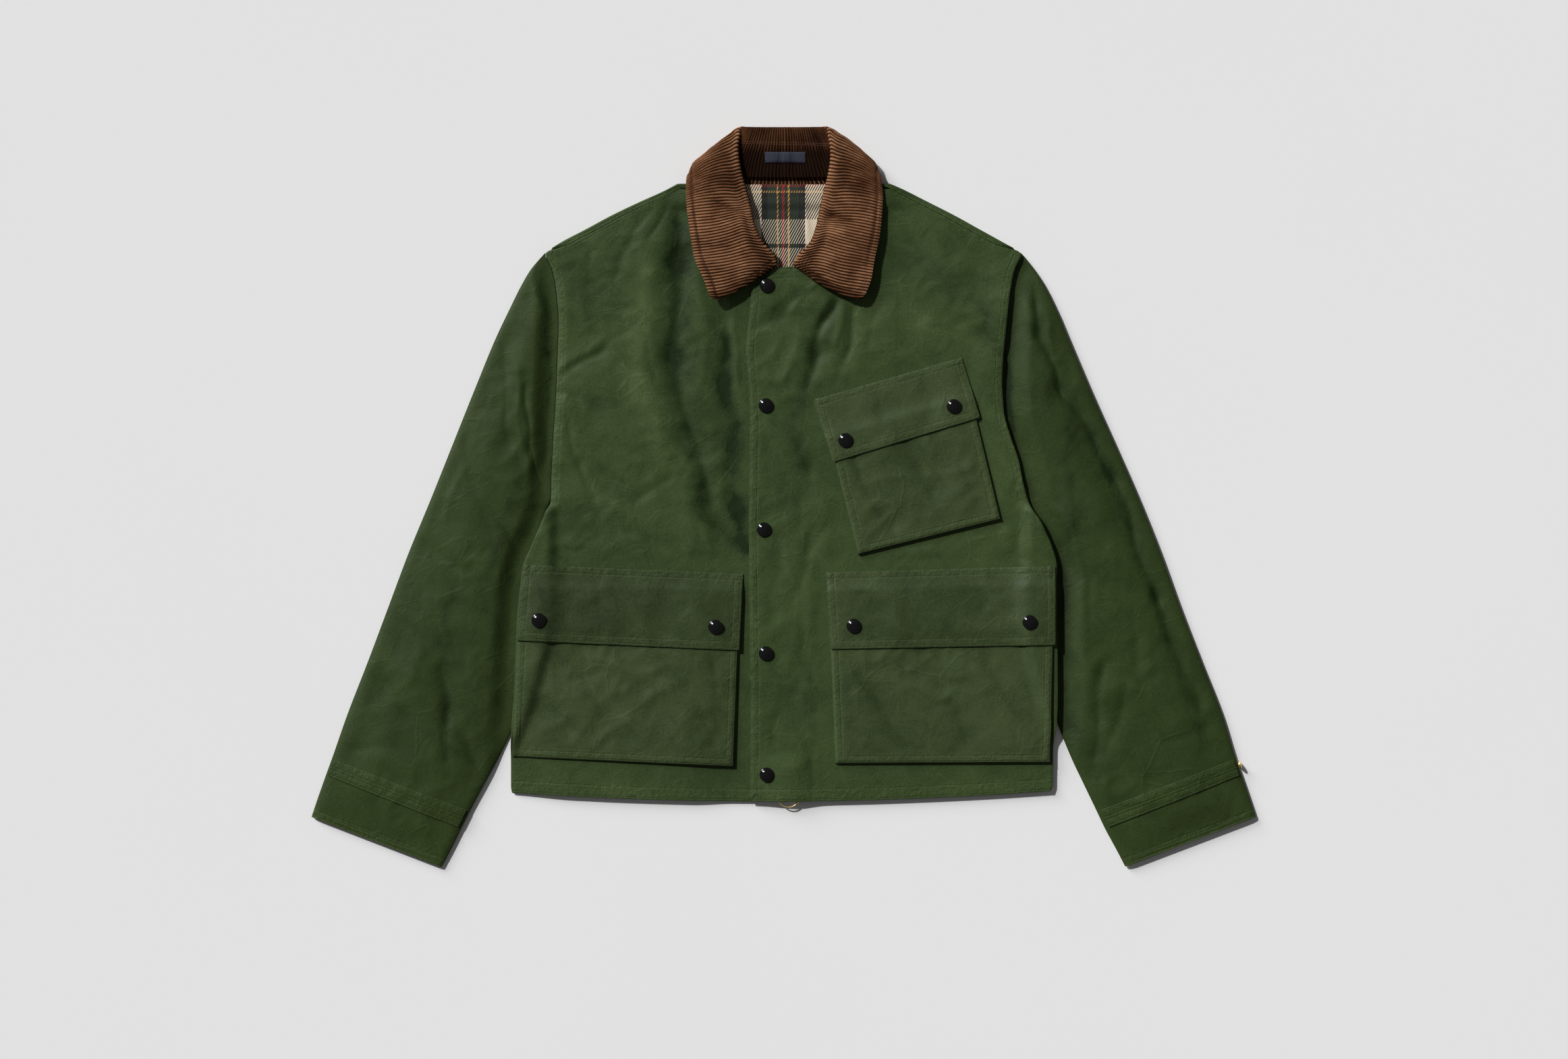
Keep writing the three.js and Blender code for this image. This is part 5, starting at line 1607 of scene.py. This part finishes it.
# %% Tools for nodes
def put(tree, kind, *links, **settings):
    """Adds a node; settings are its own, and each link is (socket, value or other output)."""
    node = tree.nodes.new("ShaderNode" + kind)
    for name, value in settings.items():
        setattr(node, name, value)
    for socket, value in links:
        if isinstance(value, bpy.types.NodeSocket):
            tree.links.new(value, node.inputs[socket])
        else:
            node.inputs[socket].default_value = value
    return node


def math(tree, operation, *values):
    return put(tree, "Math", *enumerate(values), operation=operation).outputs[0]


def between_values(tree, value, low, high, out_low=0.0, out_high=1.0, smooth=True):
    kind = "SMOOTHSTEP" if smooth else "LINEAR"
    links = ((0, value), (1, low), (2, high), (3, out_low), (4, out_high))
    return put(tree, "MapRange", *links, interpolation_type=kind).outputs[0]


def seam_distances(tree):
    """How far, in mm, each spot is from up to three sewn edges of its piece."""
    seams = put(tree, "Attribute", attribute_name="seams").outputs["Vector"]
    return put(tree, "SeparateXYZ", (0, seams)).outputs


def on_object(tree):
    """Where each spot lies on the jacket, in metres."""
    return put(tree, "TexCoord").outputs["Object"]


def on_cloth(tree):
    """Where each spot lies on its own sheet, in metres."""
    return put(tree, "UVMap").outputs["UV"]


def tone_of(tree):
    return put(tree, "Attribute", attribute_name="tone").outputs["Fac"]


def vary(tree, cloud, amount, base):
    """Adds cloudy noise to a base; the middle value of the noise changes nothing."""
    return math(tree, "MULTIPLY_ADD", math(tree, "SUBTRACT", cloud, 0.5), amount, base)


def add_shares(tree, total, *parts):
    """Adds a share of each value to a total; each part is (value, share)."""
    for value, share in parts:
        total = math(tree, "MULTIPLY_ADD", value, share, total)
    return total


def mixed(tree, factor, a, b, blend="MIX"):
    links = ((0, factor), (6, a), (7, b))
    return put(tree, "Mix", *links, data_type="RGBA", blend_type=blend).outputs[2]


def noise(tree, place, size, detail=2.0, rough=0.5, distortion=0.0):
    """Cloudy noise whose blobs are about size mm across, on coordinates in metres."""
    shape = (("Detail", detail), ("Roughness", rough), ("Distortion", distortion))
    links = (("Vector", place), ("Scale", 1000.0 / size), *shape)
    return put(tree, "TexNoise", *links).outputs["Fac"]


def group(name, inputs, outputs):
    tree = bpy.data.node_groups.new(name, "ShaderNodeTree")
    for kind, names in (("INPUT", inputs), ("OUTPUT", outputs)):
        for label, socket in names.items():
            tree.interface.new_socket(label, in_out=kind, socket_type="NodeSocket" + socket)
    return tree, tree.nodes.new("NodeGroupInput").outputs, tree.nodes.new("NodeGroupOutput").inputs


def use(tree, shared, **values):
    node = tree.nodes.new("ShaderNodeGroup")
    node.node_tree = shared
    for name, value in values.items():
        socket = node.inputs[name.replace("_", " ")]
        if isinstance(value, bpy.types.NodeSocket):
            tree.links.new(value, socket)
        else:
            socket.default_value = value
    return node.outputs


def finish(name):
    material = bpy.data.materials.new(name)
    material.use_nodes = True
    tree = material.node_tree
    return material, tree, tree.nodes["Principled BSDF"]


def paint(tree, shader, colour, **values):
    """Gives a shader its colour and plain values; an underscore in a name stands for a space."""
    tree.links.new(colour, shader.inputs["Base Color"])
    for name, value in values.items():
        shader.inputs[name.replace("_", " ")].default_value = value


def emboss(tree, shader, height, strength=1.0):
    """Lets a height in mm raise the surface."""
    bump = put(tree, "Bump", ("Height", height), ("Distance", MM), ("Strength", strength))
    tree.links.new(bump.outputs["Normal"], shader.inputs["Normal"])


# %% Shared effects
clouds = {"Broad": "Float", "Small": "Float", "Grain": "Float"}
wax_mottle, given, out = group("wax mottle", {"Place": "Vector"}, clouds)
wax_mottle.links.new(noise(wax_mottle, given["Place"], 140, 3.0, 0.55, 0.6), out["Broad"])
wax_mottle.links.new(noise(wax_mottle, given["Place"], 26, 4.0, 0.6, 0.8), out["Small"])
wax_mottle.links.new(noise(wax_mottle, given["Place"], 2.2, 3.0, 0.7), out["Grain"])

weave, given, out = group("plain weave", {"Cloth": "Vector", "Pitch": "Float"}, {"Threads": "Float"})
split = put(weave, "SeparateXYZ", (0, given["Cloth"])).outputs
turns = [math(weave, "MULTIPLY", math(weave, "DIVIDE", split[k], given["Pitch"]), 2 * pi) for k in (0, 1)]
waves = [math(weave, "SINE", turn) for turn in turns]
weave.links.new(math(weave, "MULTIPLY", waves[0], waves[1]), out["Threads"])

crackle, given, out = group("wax crackle", {"Place": "Vector"}, {"Lines": "Float", "Height": "Float"})
bend = noise(crackle, given["Place"], 30, 3.0, 0.6)
both_ways = put(crackle, "CombineXYZ", (0, bend), (1, bend)).outputs[0]
shift = put(crackle, "VectorMath", (0, both_ways), (1, (0.02, 0.014, 0.0)), operation="MULTIPLY").outputs[0]
pushed = put(crackle, "VectorMath", (0, given["Place"]), (1, shift), operation="ADD").outputs[0]
lines = []
for size, width in ((42.0, 0.05), (17.0, 0.08)):
    links = (("Vector", pushed), ("Scale", 1000.0 / size))
    cells = put(crackle, "TexVoronoi", *links, feature="DISTANCE_TO_EDGE")
    line = between_values(crackle, cells.outputs["Distance"], 0.0, width, 1.0, 0.0)
    patch = between_values(crackle, noise(crackle, given["Place"], size * 1.7, 2.0), 0.47, 0.66)
    lines.append(math(crackle, "MULTIPLY", line, patch))
both = math(crackle, "MAXIMUM", lines[0], math(crackle, "MULTIPLY", lines[1], 0.6))
crackle.links.new(both, out["Lines"])
crackle.links.new(math(crackle, "MULTIPLY", both, 0.2), out["Height"])

sewn, given, out = group(
    "sewn edge",
    {"Distance": "Float", "First": "Float", "Second": "Float", "Cloth": "Vector"},
    {"Height": "Float", "Band": "Float"},
)
rows = []
for label in ("First", "Second"):
    off = math(sewn, "ABSOLUTE", math(sewn, "SUBTRACT", given["Distance"], given[label]))
    rows.append(between_values(sewn, off, 0.1, 1.3, 1.0, 0.0))
groove = math(sewn, "MAXIMUM", rows[0], rows[1])
fade = math(sewn, "ADD", given["Second"], 5.0)
band = between_values(sewn, given["Distance"], given["Second"], fade, 1.0, 0.0)
puckers = math(sewn, "SUBTRACT", noise(sewn, given["Cloth"], 5.5, 2.0, 0.6), 0.5)
pucker_height = math(sewn, "MULTIPLY", math(sewn, "MULTIPLY", puckers, band), 1.1)
sewn.links.new(math(sewn, "SUBTRACT", pucker_height, math(sewn, "MULTIPLY", groove, 0.2)), out["Height"])
sewn.links.new(band, out["Band"])
print("shared effects:", [g.name for g in bpy.data.node_groups])

# %% [markdown]
# ### Waxed cotton
# Waxed cloth is never one colour: it is mottled, and rubbed thin along sewn edges and crackle lines,
# where it turns a lighter, yellower green. `tone` adds painted shade in the troughs of the folds and
# along dark bands, where the green is deep, and painted light on ridges and pale bands. `seams` comes
# from the cut, so the rubbing sits where the real cloth is rubbed.

# %% Waxed cotton
FIRST_ROWS = (1.8, 1.8, 7.0)
SMOOTHEST = 0.46


def waxed_cotton(name, deep, usual, worn_and_lit, second=(8.3, 12.2, 7.0)):
    """FIRST_ROWS and second say how far each edge's two sewn rows lie inside it, in mm."""
    material, tree, shader = finish(name)
    place, flat, tone = on_object(tree), on_cloth(tree), tone_of(tree)
    seam = seam_distances(tree)
    mottle = use(tree, wax_mottle, Place=place)
    cracks = use(tree, crackle, Place=place)
    threads = use(tree, weave, Cloth=flat, Pitch=0.00062)
    height, band = None, None
    for k in range(3):
        edge = use(tree, sewn, Distance=seam[k], First=FIRST_ROWS[k], Second=second[k], Cloth=flat)
        height = edge["Height"] if height is None else math(tree, "ADD", height, edge["Height"])
        band = edge["Band"] if band is None else math(tree, "MAXIMUM", band, edge["Band"])
    wear_and_shade = vary(tree, mottle["Broad"], 0.8, 0.5)
    wear_and_shade = vary(tree, mottle["Small"], 0.85, wear_and_shade)
    wear_and_shade = vary(tree, mottle["Grain"], 0.9, wear_and_shade)
    # Here `tone` adds painted shade and painted light to the random mottle.
    wear_and_shade = math(tree, "ADD", wear_and_shade, tone)
    wear_and_shade = add_shares(tree, wear_and_shade, (band, 0.1), (cracks["Lines"], 0.12))
    colour = mixed(tree, between_values(tree, wear_and_shade, -0.25, 0.55, smooth=False), deep, usual)
    colour = mixed(tree, between_values(tree, wear_and_shade, 0.5, 1.25), colour, worn_and_lit)
    paint(tree, shader, colour, Specular_IOR_Level=0.13)
    broad, small, grain = mottle["Broad"], mottle["Small"], mottle["Grain"]
    rough = add_shares(tree, SMOOTHEST, (small, 0.16), (broad, -0.1), (grain, 0.12))
    tree.links.new(rough, shader.inputs["Roughness"])
    height = math(tree, "ADD", height, cracks["Height"])
    height = add_shares(tree, height, (grain, 0.16), (small, 0.9), (threads["Threads"], 0.012))
    emboss(tree, shader, height, 0.9)
    return material


# In each shade of cloth the pale colour serves rubbed edges and painted light, the deep one the mottle and
# painted shade.
DEEP, USUAL, WORN_AND_LIT = (0.010, 0.019, 0.0045, 1), (0.037, 0.060, 0.018, 1), (0.068, 0.097, 0.034, 1)
front_wax = waxed_cotton("waxed cotton front", DEEP, USUAL, WORN_AND_LIT)
pocket_wax = waxed_cotton(
    "waxed cotton pockets",
    (0.011, 0.020, 0.006, 1),
    (0.041, 0.060, 0.021, 1),
    (0.060, 0.083, 0.030, 1),
    second=(8.0, 12.0, 7.0),
)
sleeve_wax = waxed_cotton(
    "waxed cotton sleeves", DEEP, (0.027, 0.044, 0.011, 1), (0.042, 0.064, 0.016, 1), second=(7.5, 12.2, 7.0)
)
print("waxed cotton made in three shades")

# %% [markdown]
# ### Corduroy
# The first UV number runs across the ribs, and a whole rib is three millimetres of it. A rib is
# a rounded ridge of cut pile, pale on its crown, partly the pile's own colour and partly painted
# highlight, and very dark in the groove with painted shade.

# %% Corduroy
corduroy, tree, shader = finish("brown corduroy")
place, flat, tone = on_object(tree), on_cloth(tree), tone_of(tree)
seam = seam_distances(tree)
nap = noise(tree, flat, 0.9, 3.0, 0.75)
stretch = put(tree, "Mapping", ("Vector", flat), ("Scale", (1.0, 0.12, 1.0))).outputs[0]
streak = noise(tree, stretch, 2.4, 3.0, 0.65)
cloud = noise(tree, place, 30, 3.0, 0.6)
across = math(tree, "DIVIDE", put(tree, "SeparateXYZ", (0, flat)).outputs[0], WALE * MM)
across = vary(tree, streak, 0.06, across)
crown = math(tree, "ABSOLUTE", math(tree, "SINE", math(tree, "MULTIPLY", across, pi)))
light = vary(tree, nap, 0.75, math(tree, "POWER", crown, 2.2))
light = vary(tree, streak, 0.6, light)
light = vary(tree, cloud, 0.9, light)
# `tone` adds the collar's painted shade and painted light.
light = math(tree, "ADD", light, tone)
# The groove colour is painted shade, and the crown colour is partly the pile's own and partly painted
# highlight.
SHADED_GROOVE, PILE, PALE_AND_LIT_CROWN = (0.010, 0.0035, 0.0013, 1), (0.072, 0.028, 0.011, 1), (0.34, 0.170, 0.088, 1)
colour = mixed(tree, between_values(tree, light, 0.03, 0.55), SHADED_GROOVE, PILE)
colour = mixed(tree, between_values(tree, light, 0.5, 1.3), colour, PALE_AND_LIT_CROWN)
paint(tree, shader, colour, Roughness=0.85, Specular_IOR_Level=0.05, Sheen_Weight=0.05,
      Sheen_Roughness=0.35, Sheen_Tint=(0.9, 0.55, 0.35, 1))
emboss(tree, shader, add_shares(tree, math(tree, "MULTIPLY", crown, 0.25), (nap, 0.3)))
print("corduroy: one rib every", WALE, "mm")

# %% [markdown]
# ### Checked lining
# A check is woven from two lists of stripes: the warp runs up the cloth and the weft across it.
# A twill shows them in turn along steep diagonal lines, so where a dark stripe of one list crosses
# a pale one of the other, fine diagonals appear by themselves. Both lists are charted.

# %% Checked twill
TWILL = 0.0026
CREAM, INK, MOSS = (0.76, 0.64, 0.48, 1), (0.008, 0.009, 0.010, 1), (0.020, 0.032, 0.022, 1)
STRAW, BRICK = (0.52, 0.28, 0.07, 1), (0.30, 0.020, 0.022, 1)
WARP = ((-60, CREAM), (-21.5, INK), (-15, MOSS), (-5.6, STRAW), (-3.8, MOSS), (-0.4, BRICK), (2.4, MOSS),
        (5.8, STRAW), (7.6, MOSS), (17, INK), (23.5, CREAM))
WEFT = ((215, CREAM), (258.5, INK), (262.5, CREAM), (288, INK), (294, MOSS), (311, INK), (315.2, STRAW),
        (317.4, MOSS), (321, BRICK), (324.4, MOSS), (327.6, STRAW), (329.8, MOSS))


def stripes(tree, value, chart, low, high):
    """A row of plain stripes along a value in metres; chart gives where each one begins, in mm."""
    along = between_values(tree, value, low * MM, high * MM, smooth=False)
    node = put(tree, "ValToRGB", (0, along))
    ramp = node.color_ramp
    ramp.interpolation = "CONSTANT"
    while len(ramp.elements) < len(chart):
        ramp.elements.new(0.999)
    for element, (start, colour) in zip(ramp.elements, chart):
        element.position = (start - low) / (high - low)
        element.color = colour
    return node.outputs[0]


checked, tree, shader = finish("checked twill lining")
place = on_object(tree)
wander = math(tree, "MULTIPLY", math(tree, "SUBTRACT", noise(tree, place, 30, 1.0), 0.5), 0.0014)
x_axis, y_axis = put(tree, "SeparateXYZ", (0, place)).outputs[:2]
x_axis = math(tree, "ADD", math(tree, "ADD", x_axis, wander), 1.8 * MM)
warp = stripes(tree, x_axis, WARP, -60, 60)
weft = stripes(tree, y_axis, WEFT, 215, 335)
slant = add_shares(tree, x_axis, (y_axis, -0.55))
diagonal = math(tree, "FRACT", math(tree, "ADD", math(tree, "DIVIDE", slant, TWILL), 200.0))
ridge = math(tree, "ABSOLUTE", math(tree, "SUBTRACT", diagonal, 0.5))
turn = between_values(tree, ridge, 0.27, 0.37)
colour = mixed(tree, turn, warp, weft)
unlike = mixed(tree, 1.0, warp, weft, blend="DIFFERENCE")
# Painted shade: a dark line between the yarns where warp and weft differ in colour.
yarn_gap_shade = math(tree, "ABSOLUTE", math(tree, "SUBTRACT", ridge, 0.32))
yarn_gap_shade = between_values(tree, yarn_gap_shade, 0.0, 0.14, 1.0, 0.0)
colour = mixed(tree, math(tree, "MULTIPLY", yarn_gap_shade, unlike), colour, INK)
fuzz = noise(tree, place, 1.6, 3.0, 0.7)
colour = mixed(tree, math(tree, "MULTIPLY", fuzz, 0.3), colour, (0.06, 0.05, 0.04, 1))
paint(tree, shader, colour, Roughness=0.9, Specular_IOR_Level=0.2)
height = add_shares(tree, math(tree, "MULTIPLY", ridge, 0.3), (fuzz, 0.1))
emboss(tree, shader, height, 0.8)
print("the check has", len(WARP), "warp stripes and", len(WEFT), "weft stripes")

# %% [markdown]
# ### Label, thread, black caps and brass
# These small finishes still get their own structure: a ribbed weave and a paler selvedge on the
# label, twisted thread, a deep gloss with faint handling marks on the caps, and brass that is
# duller where fingers do not reach.

# %% Label and threads
label_cloth, tree, shader = finish("navy label")
flat = on_cloth(tree)
seam = seam_distances(tree)
threads_of = use(tree, weave, Cloth=flat, Pitch=0.0007)["Threads"]
fuzz = noise(tree, flat, 0.9, 3.0, 0.7)
lightness = add_shares(tree, fuzz, (threads_of, 0.18))
colour = mixed(tree, lightness, (0.004, 0.006, 0.016, 1), (0.013, 0.017, 0.040, 1))
colour = mixed(tree, between_values(tree, seam[0], 0.3, 0.9, 0.3, 0.0), colour, (0.022, 0.027, 0.055, 1))
paint(tree, shader, colour, Roughness=0.75)
height = math(tree, "MULTIPLY", threads_of, 0.08)
emboss(tree, shader, height, 0.8)


def thread(name, dark, pale):
    material, tree, shader = finish(name)
    place = on_object(tree)
    paint(tree, shader, mixed(tree, noise(tree, place, 6, 2.0, 0.7), dark, pale), Roughness=0.7)
    return material


green_thread = thread("green thread", (0.045, 0.070, 0.020, 1), (0.105, 0.135, 0.055, 1))
brown_thread = thread("brown thread", (0.07, 0.028, 0.018, 1), (0.20, 0.09, 0.06, 1))
navy_thread = thread("navy thread", (0.005, 0.005, 0.008, 1), (0.015, 0.015, 0.02, 1))
# The needle holes are painted shade: dark lozenges between the stitches.
needle_hole_shade = thread("needle hole shade", (0.006, 0.009, 0.004, 1), (0.016, 0.022, 0.009, 1))

# %% Black caps and brass
black_gloss, tree, shader = finish("black snap gloss")
place = on_object(tree)
handled = noise(tree, place, 5, 3.0, 0.6)
colour = mixed(tree, handled, (0.002, 0.002, 0.0025, 1), (0.006, 0.006, 0.0065, 1))
paint(tree, shader, colour, Specular_IOR_Level=0.4)
tree.links.new(between_values(tree, handled, 0.3, 0.8, 0.07, 0.2), shader.inputs["Roughness"])

brass, tree, shader = finish("aged brass")
place = on_object(tree)
dull = noise(tree, place, 3.0, 4.0, 0.6)
colour = mixed(tree, dull, (0.95, 0.76, 0.38, 1), (0.72, 0.50, 0.20, 1))
paint(tree, shader, colour, Metallic=1.0)
tree.links.new(between_values(tree, dull, 0.3, 0.75, 0.34, 0.5), shader.inputs["Roughness"])
height = math(tree, "MULTIPLY", noise(tree, place, 0.8, 2.0), 0.03)
emboss(tree, shader, height)
print("finishes:", len(bpy.data.materials))

# %% [markdown]
# ## Handing the pieces over
# Every piece gets its finish and the body that it rides on, and the solid node that it stands in
# for is hidden. Each sheet also says how large it was cut.

# %% Finishes, slots and bodies
def dress(piece, material, slot, *nodes, body="jacket"):
    piece.data.materials.clear()
    piece.data.materials.append(material)
    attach(piece, body)
    if nodes:
        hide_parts(*nodes)


dress(back_panel, front_wax, "waxed_cotton", "back_panel")
dress(front_right, front_wax, "waxed_cotton", "front_right")
dress(front_left, front_wax, "waxed_cotton", "front_left")
dress(lining, checked, "plaid_lining", "neck_lining")
dress(collar, corduroy, "corduroy", "collar")
dress(neck_label, label_cloth, "label_cloth", "neck_label")
for side in ("right", "left"):
    dress(sleeves[side], sleeve_wax, "waxed_cotton", f"sleeve_{side}")
    dress(straps[side], sleeve_wax, "waxed_cotton", f"cuff_strap_{side}")
for name, bag in bags.items():
    dress(bag, pocket_wax, "waxed_cotton", name)
for name, flap in flaps.items():
    dress(flap, pocket_wax, "waxed_cotton", name)
for name, snap in snaps.items():
    dress(snap, black_gloss, "black_gloss", name)
dress(stud, brass, "brass", "cuff_stud")
dress(ring, brass, "brass", "zip_ring", body="ring")
slider = bpy.data.objects["zip_slider"]
slider.data.materials.clear()
slider.data.materials.append(brass)
for name, line in threads.items():
    if name == "collar":
        dress(line, brown_thread, "corduroy")
    elif name == "label":
        dress(line, navy_thread, "label_cloth")
    else:
        dress(line, green_thread, "waxed_cotton")
    line.data.materials.append(needle_hole_shade)

# %% [markdown]
# ## Floor, light and camera
# The picture was taken from straight above on a pale floor. The key light comes from the upper
# left, about forty degrees up, and is fairly hard: the collar throws a crisp shadow down to the
# right. A second, softer light stands lower on the same side, so that the hem and the cuffs throw
# a wide and faint shadow. A little light from the white world fills both shadows.

# %% Floor and light
bpy.ops.object.select_all(action="DESELECT")
bpy.ops.mesh.primitive_plane_add(size=40, location=(0, 0, -0.0002))
floor = bpy.context.object
floor.name = "studio_floor"
pale, tree, shader = finish("pale floor")
place = on_object(tree)
colour = mixed(tree, noise(tree, place, 400, 2.0), (0.78, 0.78, 0.78, 1), (0.79, 0.79, 0.79, 1))
paint(tree, shader, colour, Roughness=0.95, Specular_IOR_Level=0.1)
floor.data.materials.append(pale)

world = bpy.context.scene.world or bpy.data.worlds.new("studio")
bpy.context.scene.world = world
world.use_nodes = True
sky = world.node_tree.nodes["Background"].inputs
sky["Color"].default_value = (1.0, 1.0, 1.0, 1)
sky["Strength"].default_value = 0.12


def sun(name, strength, angle, way):
    """A far light that shines along a direction; a wider angle gives softer shadows."""
    bpy.ops.object.light_add(type="SUN")
    light = bpy.context.object
    light.name = name
    light.data.energy = strength
    light.data.angle = angle
    light.rotation_euler = Vector(way).to_track_quat("-Z", "Y").to_euler()


sun("key_light", 3.0, 0.06, (1.0, -0.95, -1.15))
sun("soft_key_light", 1.9, 0.45, (1.0, -0.95, -0.56))

# %% Camera
LENS, SENSOR, CAMERA_HEIGHT = 85, 36, 3.841
camera_data = bpy.data.cameras.new("overhead camera")
camera = bpy.data.objects.new("overhead_camera", camera_data)
bpy.context.collection.objects.link(camera)
camera_data.lens = LENS
camera_data.sensor_width = SENSOR
camera_data.clip_end = 20
camera.location = (0.00035, -0.03325, CAMERA_HEIGHT)
bpy.context.scene.camera = camera
bpy.context.scene.view_settings.view_transform = "Standard"
print("the picture is", round(CAMERA_HEIGHT * SENSOR / LENS / MM), "mm wide on the floor")
